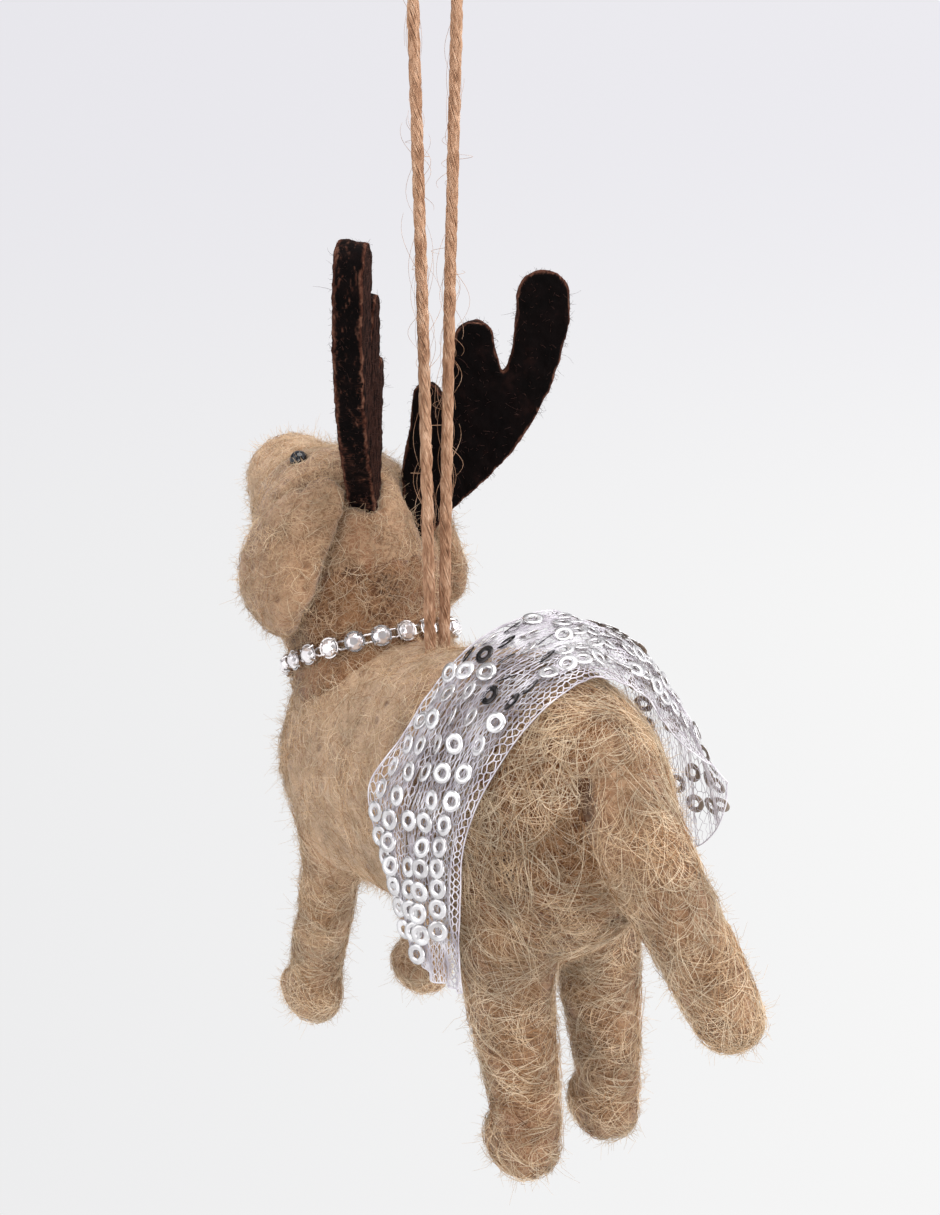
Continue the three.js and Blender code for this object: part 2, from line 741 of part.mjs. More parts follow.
const archMiddle = -ARCH_RADIUS + TWINE_DIAMETER / 2;
const strandTop = archMiddle - CORD_GAP;
const strandBottom = ENTRY_HEIGHT - HOOK_HEIGHT + CORD_GAP / 2;
const archPoints = [];
for (let i = 0; i <= 8; i += 1) {
  const turn = (Math.PI * i) / 8;
  archPoints.push([ARCH_RADIUS * Math.cos(turn), 0, archMiddle + ARCH_RADIUS * Math.sin(turn)]);
}
ornament.add(mesh("hanger_arch", tube(archPoints, TWINE_DIAMETER, 10), wool(TWINE_BROWN)));

for (const [name, side] of [
  ["left", 1],
  ["right", -1],
]) {
  const strandPoints = [
    [ARCH_RADIUS, strandTop],
    [ARCH_RADIUS * 0.986, strandTop - ARCH_RADIUS * 0.857],
    [THREE.MathUtils.lerp(STRAND_SPREAD, ARCH_RADIUS, 0.39), (strandTop + strandBottom) / 2],
    [STRAND_SPREAD, strandBottom + STRAND_SPREAD * 2.5],
    [STRAND_SPREAD, strandBottom],
  ].map(([away, height]) => [side * away, 0, height]);
  ornament.add(mesh(`strand_${name}`, tube(strandPoints, TWINE_DIAMETER, 22), wool(TWINE_BROWN)));
}

export default ornament;
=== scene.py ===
# %% [markdown]
# # A needle-felted dog ornament
# A small dog of tan wool hangs on a loop of jute twine. It wears antlers of dark felt, a collar of glass
# stones and a strip of sequin net. The solids give every piece its place, in metres, with the hanging
# point at the origin, +Z up and the dog facing -Y. This script gives them their real surfaces.

# %% Frame
import random
from math import cos, exp, pi, radians, sin

import bmesh
import bpy
import numpy as np
from bmesh import ops
from mathutils import Matrix, Quaternion, Vector, noise
from mathutils.bvhtree import BVHTree


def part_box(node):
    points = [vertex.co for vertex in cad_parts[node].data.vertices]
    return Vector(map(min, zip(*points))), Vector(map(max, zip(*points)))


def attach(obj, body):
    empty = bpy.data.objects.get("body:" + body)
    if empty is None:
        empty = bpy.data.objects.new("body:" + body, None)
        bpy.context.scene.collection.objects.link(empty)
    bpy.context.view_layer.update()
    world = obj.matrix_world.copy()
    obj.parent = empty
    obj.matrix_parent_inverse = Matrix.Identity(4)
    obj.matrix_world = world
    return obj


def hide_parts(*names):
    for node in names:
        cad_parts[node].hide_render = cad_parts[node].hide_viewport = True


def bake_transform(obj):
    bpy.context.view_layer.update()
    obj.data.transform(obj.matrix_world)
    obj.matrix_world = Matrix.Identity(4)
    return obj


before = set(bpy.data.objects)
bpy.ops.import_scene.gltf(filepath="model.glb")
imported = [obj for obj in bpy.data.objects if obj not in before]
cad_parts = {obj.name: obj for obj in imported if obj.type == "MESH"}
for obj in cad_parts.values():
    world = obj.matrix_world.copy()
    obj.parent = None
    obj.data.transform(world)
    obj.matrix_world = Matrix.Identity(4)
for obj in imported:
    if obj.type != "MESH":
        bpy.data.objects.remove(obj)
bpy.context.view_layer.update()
MM = 0.001
scene = bpy.context.scene
scene.view_settings.view_transform = "Standard"

# %% [markdown]
# ## Camera
# The picture was taken from behind the dog's left hip, a little above it. A lens of about 53 mm on a
# 36 mm tall sensor gives the same perspective.

# %% Camera
PICTURE_HEIGHT = 1215
FOCAL_PIXELS = 1800
SENSOR = 36
LOOK_DOWN = radians(11)
LOOK_ROUND = radians(33)
CAMERA_PLACE = (0.1335, 0.2142, -0.039)
PICTURE_RIGHT = (-cos(LOOK_ROUND), sin(LOOK_ROUND), 0)


def aimed(name, data, place, way):
    """A camera or a lamp at a place, looking along a direction."""
    made = bpy.data.objects.new(name, data)
    made.location = place
    made.rotation_mode = "QUATERNION"
    made.rotation_quaternion = way.to_track_quat("-Z", "Y")
    scene.collection.objects.link(made)
    return made


camera_data = bpy.data.cameras.new("camera")
camera_data.sensor_width = SENSOR
camera_data.lens = SENSOR * FOCAL_PIXELS / PICTURE_HEIGHT
camera_data.clip_start = 0.01
level = cos(LOOK_DOWN)
sight = Vector((-sin(LOOK_ROUND) * level, -cos(LOOK_ROUND) * level, -sin(LOOK_DOWN)))
scene.camera = aimed("camera", camera_data, CAMERA_PLACE, sight)

# %% [markdown]
# ## Shader tools
# Materials are written as sums. A Value wraps one socket, and arithmetic on it adds Math nodes. A Recipe
# owns one node tree, and its add method makes any other node from a type, settings and socket values.


# %% Shader tools
class Value:
    """One output socket that takes part in Python arithmetic."""

    def __init__(self, recipe, socket):
        self.recipe = recipe
        self.socket = socket

    def math(self, operation, first, second=0.0):
        return self.recipe.add("Math", {"operation": operation}, {0: first, 1: second})

    def __add__(self, other):
        return self.math("ADD", self, other)

    def __sub__(self, other):
        return self.math("SUBTRACT", self, other)

    def __rsub__(self, other):
        return self.math("SUBTRACT", other, self)

    def __mul__(self, other):
        return self.math("MULTIPLY", self, other)

    __radd__ = __add__
    __rmul__ = __mul__

    def __abs__(self):
        return self.math("ABSOLUTE", self)

    def at_least(self, other):
        return self.math("MAXIMUM", self, other)


class Recipe:
    """The node tree of one material or world."""

    def __init__(self, tree):
        self.tree = tree
        tree.nodes.clear()

    def add(self, kind, settings=None, sockets=None, out=0):
        node = self.tree.nodes.new("ShaderNode" + kind)
        for name, setting in (settings or {}).items():
            if name == "stops":
                self.set_stops(node.color_ramp, setting)
            else:
                setattr(node, name, setting)
        for name, given in (sockets or {}).items():
            if isinstance(given, Value):
                self.tree.links.new(given.socket, node.inputs[name])
            else:
                node.inputs[name].default_value = given
        return Value(self, node.outputs[out]) if len(node.outputs) else node

    @staticmethod
    def set_stops(ramp, stops):
        while len(ramp.elements) < len(stops):
            ramp.elements.new(0.5)
        for element, (place, colour) in zip(ramp.elements, stops):
            element.position = place
            element.color = paint(*colour)

    def place(self):
        return self.add("TexCoord", out="Object")

    def vector(self, operation, first, second=(0, 0, 0), out=0):
        return self.add("VectorMath", {"operation": operation}, {0: first, 1: second}, out=out)

    def attribute(self, name):
        return self.add("Attribute", {"attribute_name": name}, out="Fac")

    def noise(self, vector, scale, detail=2.0, rough=0.5, warp=0.0):
        sockets = {"Vector": vector, "Scale": scale, "Detail": detail, "Roughness": rough}
        return self.add("TexNoise", sockets=sockets | {"Distortion": warp})

    def ramp(self, share, stops):
        return self.add("ValToRGB", {"stops": stops}, {0: share})

    def between(self, share, low, high):
        """How far share has come from low to high, held between 0 and 1."""
        sockets = {"Value": share, "From Min": low, "From Max": high}
        return self.add("MapRange", {"interpolation_type": "SMOOTHSTEP"}, sockets)

    def mix(self, share, first, second):
        return self.add("Mix", {"data_type": "RGBA"}, {0: share, 6: first, 7: second}, out=2)

    def bump(self, height, depth, strength):
        sockets = {"Height": height, "Distance": depth, "Strength": strength}
        return self.add("Bump", sockets=sockets)


def material(name):
    made = bpy.data.materials.new(name)
    made.use_nodes = True
    return made, Recipe(made.node_tree)


def surface(recipe, **sockets):
    """Ends a material with a Principled shader; underscores in the names stand for spaces."""
    named = {name.replace("_", " "): given for name, given in sockets.items()}
    shader = recipe.add("BsdfPrincipled", sockets=named)
    recipe.add("OutputMaterial", sockets={"Surface": shader})


def speckled(name, speck, dull, bright, rough, **sockets):
    """A finish between two shades. rough holds the noise's low and high, the span and the least."""
    made, mix = material(name)
    drift = mix.noise(mix.place(), *speck)
    low, high, span, least = rough
    shades = mix.ramp(drift, [(0.3, dull), (0.7, bright)])
    surface(mix, Base_Color=shades, Roughness=mix.between(drift, low, high) * span + least, **sockets)
    return made


def paint(*colour):
    """A colour given from 0 to 255, as on a screen, as the linear values that Blender mixes."""
    return (*(((c / 255 + 0.055) / 1.055) ** 2.4 if c > 10 else c / 3294.6 for c in colour), 1)


# %% [markdown]
# ## Working tools
# Each new piece is a mesh in the model's own place, with its object at the origin. Hair, threads and
# twine start as curves of many strands, and become meshes.


# %% Working tools
def show(name, mesh):
    made = bpy.data.objects.new(name, mesh)
    scene.collection.objects.link(made)
    return made


def piece_of(form, name):
    mesh = bpy.data.meshes.new(name)
    form.to_mesh(mesh)
    form.free()
    return show(name, mesh)


def settle(piece):
    """Replaces a piece's mesh by what its modifiers make of it."""
    bpy.context.view_layer.update()
    drawn = piece.evaluated_get(bpy.context.evaluated_depsgraph_get())
    settled = bpy.data.meshes.new_from_object(drawn)
    piece.modifiers.clear()
    piece.data = settled
    settled.name = piece.name
    return piece


def soften(piece, rounds):
    soft = piece.modifiers.new("soft", "SMOOTH")
    soft.factor = 0.5
    soft.iterations = rounds
    return settle(piece)


def regrid(piece, voxel):
    """Rebuilds a piece's surface from small cubes, as one closed skin of even faces."""
    grid = piece.modifiers.new("grid", "REMESH")
    grid.mode = "VOXEL"
    grid.voxel_size = voxel
    return settle(piece)


def smooth(piece):
    piece.data.polygons.foreach_set("use_smooth", [True] * len(piece.data.polygons))
    return piece


def dress(piece, finish, body, slot, *nodes):
    """Gives a finished piece its material and its body, and hides the solids it stands for. The slot is not
    used.
    """
    if piece.data.materials:
        piece.data.materials.clear()
    piece.data.materials.append(finish)
    if body:
        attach(piece, body)
    if nodes:
        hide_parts(*nodes)
    return piece


def section(sides):
    """The outline that a strand is swept with: a ring of corners, one metre out, scaled by each point."""
    outline = bpy.data.curves.new(f"section_{sides}", "CURVE")
    ring = outline.splines.new("POLY")
    ring.points.add(sides - 1)
    for i, point in enumerate(ring.points):
        turn = 2 * pi * i / sides
        point.co = (cos(turn), sin(turn), 0, 1)
    ring.use_cyclic_u = True
    return show(f"section_{sides}", outline)


def strands_piece(name, strands, sides=3):
    """One mesh of many tapered strands. Each strand is a list of (place, radius)."""
    outline = section(sides)
    curve = bpy.data.curves.new(name, "CURVE")
    curve.dimensions = "3D"
    curve.bevel_mode = "OBJECT"
    curve.bevel_object = outline
    curve.use_fill_caps = True
    for strand in strands:
        line = curve.splines.new("POLY")
        line.points.add(len(strand) - 1)
        line.points.foreach_set("co", [c for place, _ in strand for c in (*place, 1)])
        line.points.foreach_set("radius", [radius for _, radius in strand])
    swept = show(name + "_line", curve)
    bpy.context.view_layer.update()
    mesh = bpy.data.meshes.new_from_object(swept.evaluated_get(bpy.context.evaluated_depsgraph_get()))
    bpy.data.objects.remove(swept)
    bpy.data.objects.remove(outline)
    mesh.name = name
    return smooth(show(name, mesh))


def short_hair(spot, way, spin, length, points, thick, taper):
    """A hair that stands off a spot and turns at each point, as a list of (place, radius)."""
    strand = []
    for i in range(points):
        strand.append((spot.copy(), thick * (1 - taper * i)))
        spot = spot + way * (length / (points - 1))
        way = spin @ way
    return strand


def any_way(draw):
    return Vector([draw.uniform(-1, 1) for _ in range(3)])


def through(points, share):
    """A point on a smooth line through the given points, by centripetal Catmull-Rom, as in the solids."""
    along = share * (len(points) - 1)
    first = min(int(along), len(points) - 2)
    line = [2 * points[0] - points[1], *points, 2 * points[-1] - points[-2]][first : first + 4]
    times = [0.0]
    for a, b in zip(line, line[1:]):
        times.append(times[-1] + max((b - a).length, 1e-9) ** 0.5)
    now = times[1] + (along - first) * (times[2] - times[1])

    def between(a, b, start, end):
        return a + (b - a) * ((now - times[start]) / (times[end] - times[start]))

    sides = [between(line[i], line[i + 1], i, i + 1) for i in range(3)]
    halves = [between(sides[i], sides[i + 1], i, i + 2) for i in range(2)]
    return between(*halves, 1, 2)


# %% [markdown]
# ## Stage
# A pale floor lies well below the dog, in a pale room. Both show their own light colour to the camera and
# in reflections. Two dark bands of the room, seen only in reflections, give the sequins black flashes.

# %% Stage
FLOOR_DROP = 0.33
FLOOR_RADIUS = 3.0
SOFT_LIGHT = 0.52
LAMP_TARGET = Vector((0, 0, -0.1))
# Heights of a direction at which the lower dark band begins and ends, and at which the upper one begins
LOW_BAND = ((0.16, 0.24), (0.46, 0.54))
HIGH_BAND = (0.74, 0.82)
DARK_ROOM = (0.012, 0.011, 0.012, 1)


def seen_directly(recipe):
    """1 for rays that come from the camera, or from a mirror or a lens on the object."""
    kinds = ("Camera", "Glossy", "Transmission")
    rays = [recipe.add("LightPath", out=f"Is {kind} Ray") for kind in kinds]
    return rays[0].at_least(rays[1]).at_least(rays[2])


def backdrop(recipe, direction):
    """The pale colour of floor and wall in a direction, so that no line shows where they meet."""
    side = recipe.vector("DOT_PRODUCT", direction, PICTURE_RIGHT, "Value") + 0.5
    height = recipe.add("SeparateXYZ", sockets={0: direction}, out="Z")
    wall = recipe.ramp(side, [(0.25, (232, 231, 236)), (0.75, (236, 235, 240))])
    low = recipe.ramp(side, [(0.25, (237, 237, 238)), (0.75, (246, 246, 246))])
    return recipe.mix(recipe.between(height, 0.1, -0.2), wall, low), height


floor_form = bmesh.new()
low = Matrix.Translation((0, 0, -FLOOR_DROP))
ops.create_circle(floor_form, cap_ends=True, segments=96, radius=FLOOR_RADIUS, matrix=low)
floor = piece_of(floor_form, "floor")

floor_paint, mix = material("pale_floor")
outwards = mix.vector("SUBTRACT", mix.place(), CAMERA_PLACE)
pale, _ = backdrop(mix, mix.vector("NORMALIZE", outwards))
lit = mix.add("BsdfDiffuse", sockets={"Color": pale})
shown = mix.add("Emission", sockets={"Color": pale, "Strength": 1.0})
mixed = mix.add("MixShader", sockets={0: seen_directly(mix), 1: lit, 2: shown})
mix.add("OutputMaterial", sockets={"Surface": mixed})
floor.data.materials.append(floor_paint)

room = bpy.data.worlds.new("room")
room.use_nodes = True
scene.world = room
mix = Recipe(room.node_tree)
wall, height = backdrop(mix, mix.add("TexCoord", out="Generated"))
low_dark = mix.between(height, *LOW_BAND[0]) * (1 - mix.between(height, *LOW_BAND[1]))
dark = low_dark.at_least(mix.between(height, *HIGH_BAND))
mirrored = mix.add("LightPath", out="Is Glossy Ray")
wall = mix.mix(dark * mirrored, wall, DARK_ROOM)
soft = mix.add("Background", sockets={"Color": (1.0, 0.99, 0.98, 1), "Strength": SOFT_LIGHT})
plain = mix.add("Background", sockets={"Color": wall, "Strength": 1.0})
both = mix.add("MixShader", sockets={0: seen_directly(mix), 1: soft, 2: plain})
mix.add("OutputWorld", sockets={"Surface": both})

for name, spot, size, power in (
    ("light_above", (-0.05, 0.15, 0.75), 0.9, 8.4),
    ("light_left", (0.85, -0.15, 0.25), 0.8, 2.5),
    ("light_right", (-0.65, 0.75, 0.2), 0.8, 6.6),
    ("light_behind_camera", (0.5, 0.9, 0.05), 0.6, 3.0),
):
    lamp = bpy.data.lights.new(name, "AREA")
    lamp.shape = "DISK"
    lamp.size = size
    lamp.energy = power
    aimed(name, lamp, spot, LAMP_TARGET - Vector(spot))

# %% [markdown]
# ## Twine
# The loop is two-ply jute, 1.7 mm thick, on the solids' own route. Yarns wind round its line, and stray
# fibres stand off it. It is three pieces: the top, which bends over the hook, and the two strands, which
# twist between hook and dog.

# %% Twine route
TWINE = 1.7 * MM
ARCH = 3.5 * MM
SPREAD = 1.2 * MM
STEP = 0.4 * MM
STRAND_POINTS = 120
ARCH_POINTS = 40

low_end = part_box("strand_left")[0].z
arch_middle = -ARCH + TWINE / 2
strand_top = arch_middle - 0.5 * MM
strand_route = [
    Vector((SPREAD, 0, low_end)),
    Vector((SPREAD, 0, low_end + 2.5 * SPREAD)),
    Vector((SPREAD + 0.39 * (ARCH - SPREAD), 0, (strand_top + low_end) / 2)),
    Vector((0.986 * ARCH, 0, strand_top - 0.857 * ARCH)),
    Vector((ARCH, 0, strand_top)),
]
rising = [through(strand_route, i / STRAND_POINTS) for i in range(STRAND_POINTS + 1)]
arch_turns = [pi * i / ARCH_POINTS for i in range(ARCH_POINTS + 1)]
over = [Vector((ARCH * cos(turn), 0, arch_middle + ARCH * sin(turn))) for turn in arch_turns]
falling = [Vector((-p.x, 0, p.z)) for p in reversed(rising)]
rough_line = rising + over + falling
reach = np.concatenate([[0], np.cumsum([(b - a).length for a, b in zip(rough_line, rough_line[1:])])])
loop_length = float(reach[-1])


def on_loop(distance):
    """The loop's centreline at a distance from its left end, held at its ends."""
    return Vector([float(np.interp(distance, reach, [p[axis] for p in rough_line])) for axis in range(3)])


print("twine loop", round(loop_length / MM, 1), "mm")

# %% Twine plies
CORE_RADIUS = 0.62 * MM
YARNS = 22
YARN_RADIUS = 0.125 * MM
YARN_OUT = 0.72 * MM
PLY_PITCH = 7.4 * MM
YARN_DRIFT = 18 * MM
GROOVE = 0.17 * MM
GROOVE_WIDTH = 0.33
THICK_WAVE = 2.3 * MM
YARN_WAVE = 2.6 * MM
STRAY_FROM = 0.74 * MM
STRAY_LEAST = 0.7 * MM
STRAY_POINTS = 8
STRAY_RUN = 9
STRAY_BOW = 2.2 * MM
STRAY_RADIUS = 0.03 * MM
draw = random.Random(11)


def around(ahead, turn):
    """The direction that stands off a line at a turn round it."""
    sideways = Vector((0, 1, 0))
    return sideways * cos(turn) + ahead.cross(sideways) * sin(turn)


def twist_strands(stations, centre):
    """A round core and the yarns of both plies on it. The yarns sink where the two plies meet."""
    count = len(stations) - 1
    core = []
    yarns = [[] for _ in range(YARNS)]
    for i, (s, middle) in enumerate(zip(stations, centre)):
        ahead = (centre[min(i + 1, count)] - centre[max(i - 1, 0)]).normalized()
        swell = 1 + 0.07 * noise.noise(Vector((s / THICK_WAVE, 0, 0)))
        core.append((middle, CORE_RADIUS * swell))
        for j, yarn in enumerate(yarns):
            uneven = noise.noise(Vector((s / YARN_WAVE, 7.3 * j, 0)))
            in_ply = 2 * pi * (j / YARNS + s / YARN_DRIFT) + 0.25 * uneven
            sunk = GROOVE * exp(-((sin(in_ply) / GROOVE_WIDTH) ** 2))
            off = YARN_OUT * swell - sunk + 0.05 * MM * uneven
            spot = middle + around(ahead, in_ply - 2 * pi * s / PLY_PITCH) * off
            yarn.append((spot, YARN_RADIUS * (1 + 0.45 * uneven)))
    return [core, *yarns]


def stray_strand(s):
    """A loose fibre that leaves the twine at a distance along it, bows out and curls."""
    turn = draw.uniform(0, 2 * pi)
    spin = draw.gauss(0, 0.9)
    run = draw.uniform(-STRAY_RUN, STRAY_RUN) * MM
    bow = draw.uniform(0.25, 1.0) ** 2 * STRAY_BOW
    curl = draw.uniform(0.6, 1.1)
    strand = []
    for i in range(STRAY_POINTS + 1):
        share = i / STRAY_POINTS
        off = STRAY_FROM + bow * sin(pi * share * curl)
        way = turn + spin * share
        place = on_loop(s + run * share) + Vector((cos(way), sin(way), 0)) * max(off, STRAY_LEAST)
        strand.append((place, STRAY_RADIUS * (1 - 0.5 * share)))
    return strand


def twine_piece(name, start, end, strays):
    """The loop from one distance to another, with some stray fibres."""
    count = round((end - start) / STEP)
    stations = [start + (end - start) * i / count for i in range(count + 1)]
    centre = [on_loop(s) for s in stations]
    strands = twist_strands(stations, centre)
    strands += [stray_strand(draw.uniform(start + 5 * MM, end - 5 * MM)) for _ in range(strays)]
    return strands_piece(name, strands, sides=5)


jute, mix = material("jute_twine")
place = mix.place()
stretched = mix.add("Mapping", sockets={"Vector": place, "Scale": (1, 1, 0.22)})
thread = mix.noise(stretched, 2600, 3, 0.6, 0.4)
patch = mix.noise(place, 330, 2)
tint = mix.ramp(thread * 0.6 + patch * 0.4, [
    (0.32, (118, 80, 56)), (0.45, (156, 116, 88)),
    (0.56, (184, 146, 118)), (0.7, (212, 182, 158)),
])
surface(mix, Base_Color=tint, Roughness=0.85, Normal=mix.bump(thread, 0.12 * MM, 0.7))

UPPER = 16.5 * MM
middle = loop_length / 2
twine_top = twine_piece("twine_top", middle - UPPER, middle + UPPER, 14)
twine_left = twine_piece("twine_left", 0, middle - UPPER, 90)
twine_right = twine_piece("twine_right", middle + UPPER, loop_length, 90)
for piece, node in ((twine_top, "hanger_arch"), (twine_left, "strand_left"), (twine_right, "strand_right")):
    dress(piece, jute, None, "twine", node)

# %% Twine pieces in place
strands_high = on_loop(middle - UPPER).z


def stretch(start, end):
    return [on_loop(start + (end - start) * i / ARCH_POINTS) for i in range(ARCH_POINTS + 1)]


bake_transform(twine_top)
for piece in (twine_left, twine_right):
    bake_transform(piece)
for piece, start, end, length in (
    (twine_left, 0, middle - UPPER, middle - UPPER),
    (twine_right, loop_length, middle + UPPER, middle - UPPER),
    (twine_top, middle - UPPER, middle + UPPER, 2 * UPPER),
):
    stretch(start, end)

# %% [markdown]
# ## Felted body
# Each felted part is its solid rebuilt on a fine even grid and smoothed. Where two parts meet, both swell
# towards the seam, because the wool is needled from one into the other. Small lumps roughen the skin.

# %% Felted forms
VOXEL = 0.6 * MM
SWELL = 0.3 * MM
SHAFT = 4 * MM
LUMP_WAVE = 2.6 * MM
FINE_WAVE = 1.1 * MM
EARS = ("ear_left", "ear_right")
legs = [f"leg_{end}_{side}" for end in ("hind", "front") for side in ("left", "right")]
# The parts that each felted part is needled into, and how far from them it swells, in mm
seams = {
    "torso": (("neck", *legs, "tail"), 7),
    "neck": (("torso", "head"), 7),
    "head": (("neck", "muzzle"), 5),
    "muzzle": (("head",), 5),
    "tail": (("torso",), 7),
    **{leg: (("torso",), 7 if "hind" in leg else 6) for leg in legs},
    **{ear: (("head",), 1.5) for ear in EARS},
}


def merged(node):
    """A copy of a solid's mesh with its loose triangles joined."""
    form = bmesh.new()
    form.from_mesh(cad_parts[node].data)
    ops.remove_doubles(form, verts=form.verts, dist=1e-6)
    return form


def rounded(node, name, levels):
    """A solid's mesh with its corners rounded off."""
    made = piece_of(merged(node), name)
    rounder = made.modifiers.new("rounder", "SUBSURF")
    rounder.levels = rounder.render_levels = levels
    return smooth(settle(made))


def tree_of(node):
    form = merged(node)
    tree = BVHTree.FromBMesh(form)
    form.free()
    return tree


trees = {node: tree_of(node) for node in seams}


def close_shaft(form):
    """Closes the twine's shaft in the torso, because wool fills it round the twine."""
    inside = [f for f in form.faces if all(v.co.xy.length < SHAFT for v in f.verts)]
    ops.delete(form, geom=inside, context="FACES")
    rim = [e for e in form.edges if e.is_boundary]
    ops.holes_fill(form, edges=rim, sides=0)


def felted(node, voxel=VOXEL, rounds=6, lump=0.16):
    """The felted form of one solid: even grid, smoothing, swollen seams and lumps."""
    form = merged(node)
    if node == "torso":
        close_shaft(form)
    made = soften(regrid(piece_of(form, "wool_" + node), voxel), rounds)
    beside, span = seams.get(node, ((), 1))
    reach_out = span * MM
    normals = [v.normal.copy() for v in made.data.vertices]
    for vertex, normal in zip(made.data.vertices, normals):
        spot = vertex.co
        rise = SWELL
        for other in beside:
            gap = trees[other].find_nearest(spot, reach_out)[3]
            if gap is not None:
                rise += reach_out / 4 * (1 - gap / reach_out) ** 2
        rise += lump * MM * noise.noise(spot / LUMP_WAVE)
        rise += lump * 0.6 * MM * noise.noise(spot / FINE_WAVE)
        vertex.co = spot + normal * rise
    return smooth(soften(made, 2))


cores = {node: felted(node) for node in seams}

# %% [markdown]
# The skin under the loose fibres is a mat of finer ones: thin lines where a noise crosses its middle
# value, with darker and redder wool in the gaps. How dark the gaps are on each part is partly the wool's
# own colour and partly painted shade, and creases get painted shade.

# %% Wool skin
CREASE = [Vector(p) * MM for p in ((5.8, 43.2, -102.4), (5.9, 43.8, -104.5), (6, 43.9, -106.6))]
CREASE_WIDTH = 2.2 * MM
CREASE_DEPTH = 0.9 * MM
EAR_EDGE = 1.5 * MM
RUMP_TONE_FROM = 6
RUMP_TONE_SPAN = 12
# How dark and red the ground between the fibres is on each part, from 0 to 1. This is partly the wool's
# own colour and partly painted shade, as on the neck and the back of the head under the antlers
tones_and_shade = {
    "torso": 0.3, "rump": 1.0, "leg_hind": 0.7, "leg_front": 0.45, "tail": 0.6,
    "neck": 0.95, "head": 0.62, "muzzle": 0.35, "ear": 0.62,
}


def crease_at(spot):
    """How deep a spot lies in the crease beside the tail's root, or under an ear's edge, from 0 to 1."""
    gaps = []
    for a, b in zip(CREASE, CREASE[1:]):
        along = (spot - a).dot(b - a) / (b - a).length_squared
        gaps.append((spot - a.lerp(b, min(1, max(0, along)))).length)
    deep = max(0, 1 - min(gaps) / CREASE_WIDTH) ** 1.5
    for ear in EARS:
        gap = trees[ear].find_nearest(spot, EAR_EDGE)[3]
        if gap is not None:
            deep = max(deep, 0.6 * (1 - gap / EAR_EDGE))
    return deep


def tone_and_shade_at(node, spot):
    if node == "torso":
        share = min(1, max(0, (spot.y / MM - RUMP_TONE_FROM) / RUMP_TONE_SPAN))
        return tones_and_shade["torso"] + (tones_and_shade["rump"] - tones_and_shade["torso"]) * share
    return tones_and_shade[node if node in tones_and_shade else node.rsplit("_", 1)[0]]


def tangle(mix, place, scale, warp, width):
    """Thin winding lines: 1 on a line and 0 off it."""
    field = mix.noise(place, scale, 1.0, 0.5, warp)
    return 1 - mix.between(abs(field - 0.5), 0.0, width)


wool, mix = material("felted_wool")
place = mix.place()
tone = mix.attribute("tone")
lines = tangle(mix, place, 620, 1.2, 0.06).at_least(tangle(mix, place, 900, 0.8, 0.07))
lines = lines.at_least(tangle(mix, place, 460, 2.0, 0.04))
cloud = mix.noise(place, 150, 3, 0.6)
warm = mix.noise(place, 75, 2)
pale_ground = mix.ramp(cloud, [(0.32, (164, 130, 98)), (0.5, (182, 149, 118)), (0.66, (198, 168, 138))])
deep_ground = mix.ramp(cloud, [(0.32, (64, 36, 19)), (0.5, (99, 60, 33)), (0.66, (135, 91, 57))])
# The tone darkens and reddens the ground: partly the wool's own colour, partly painted shade
base = mix.mix(tone, pale_ground, deep_ground)
base = mix.mix(mix.between(warm, 0.52, 0.7) * tone * 0.6, base, paint(130, 80, 52))
tint = mix.mix(lines * 0.55, base, mix.mix(tone, paint(216, 190, 160), paint(166, 127, 92)))
# Needle pricks are small pits: their dark colour is painted shade, and the bump sinks them
prick = mix.add("TexVoronoi", sockets={"Vector": place, "Scale": 330}, out="Distance")
picked = mix.between(mix.noise(place, 150, 0), 0.56, 0.62)
pricks = (1 - mix.between(prick, 0.12, 0.3)) * picked
tint = mix.mix(pricks * 0.7, tint, paint(104, 70, 46))
# Painted shade: the crease beside the tail's root and the skin under the ears' edges turn dark, and the
# skin is also sunk there
tint = mix.mix(mix.attribute("crease") * 0.9, tint, paint(52, 28, 17))
height = lines * 0.4 + cloud * 0.4 - pricks * 0.8
surface(
    mix, Base_Color=tint, Roughness=0.92, Specular_IOR_Level=0.2, Sheen_Weight=0.3, Sheen_Roughness=0.5,
    Normal=mix.bump(height, 0.25 * MM, 0.6),
)
for node, core in cores.items():
    vertices = core.data.vertices
    depth = [0.0 if node.startswith("ear") else crease_at(v.co) for v in vertices]
    core.data.attributes.new("crease", "FLOAT", "POINT").data.foreach_set("value", depth)
    shade = [tone_and_shade_at(node, v.co) for v in vertices]
    core.data.attributes.new("tone", "FLOAT", "POINT").data.foreach_set("value", shade)
    for vertex, deep in zip(vertices, depth):
        vertex.co -= vertex.normal * (CREASE_DEPTH * deep)
    dress(core, wool, "dog", "wool", node)

# %% [markdown]
# ## Loose fibres
# Long fibres lie in a swirl on the rump, wind round the legs and run down the tail and ears. They are short
# and fine on the chest and head. Each one is walked over the skin from a random start: it follows the
# local lie, curves, and lifts a little.

# %% Fibre ground
GROUND_VOXEL = 0.55 * MM
EAR_VOXEL = 0.5 * MM


def ground_of(nodes, voxel):
    """The joined skin of some felted parts: a tree to find near places, and triangles to start from."""
    form = bmesh.new()
    for node in nodes:
        form.from_mesh(cores[node].data)
    piece = regrid(piece_of(form, "ground"), voxel)
    mesh = piece.data
    mesh.calc_loop_triangles()
    tree = BVHTree.FromPolygons([v.co[:] for v in mesh.vertices], [p.vertices[:] for p in mesh.polygons])
    corners = np.array([[mesh.vertices[i].co[:] for i in t.vertices] for t in mesh.loop_triangles])
    bpy.data.objects.remove(piece)
    return tree, corners


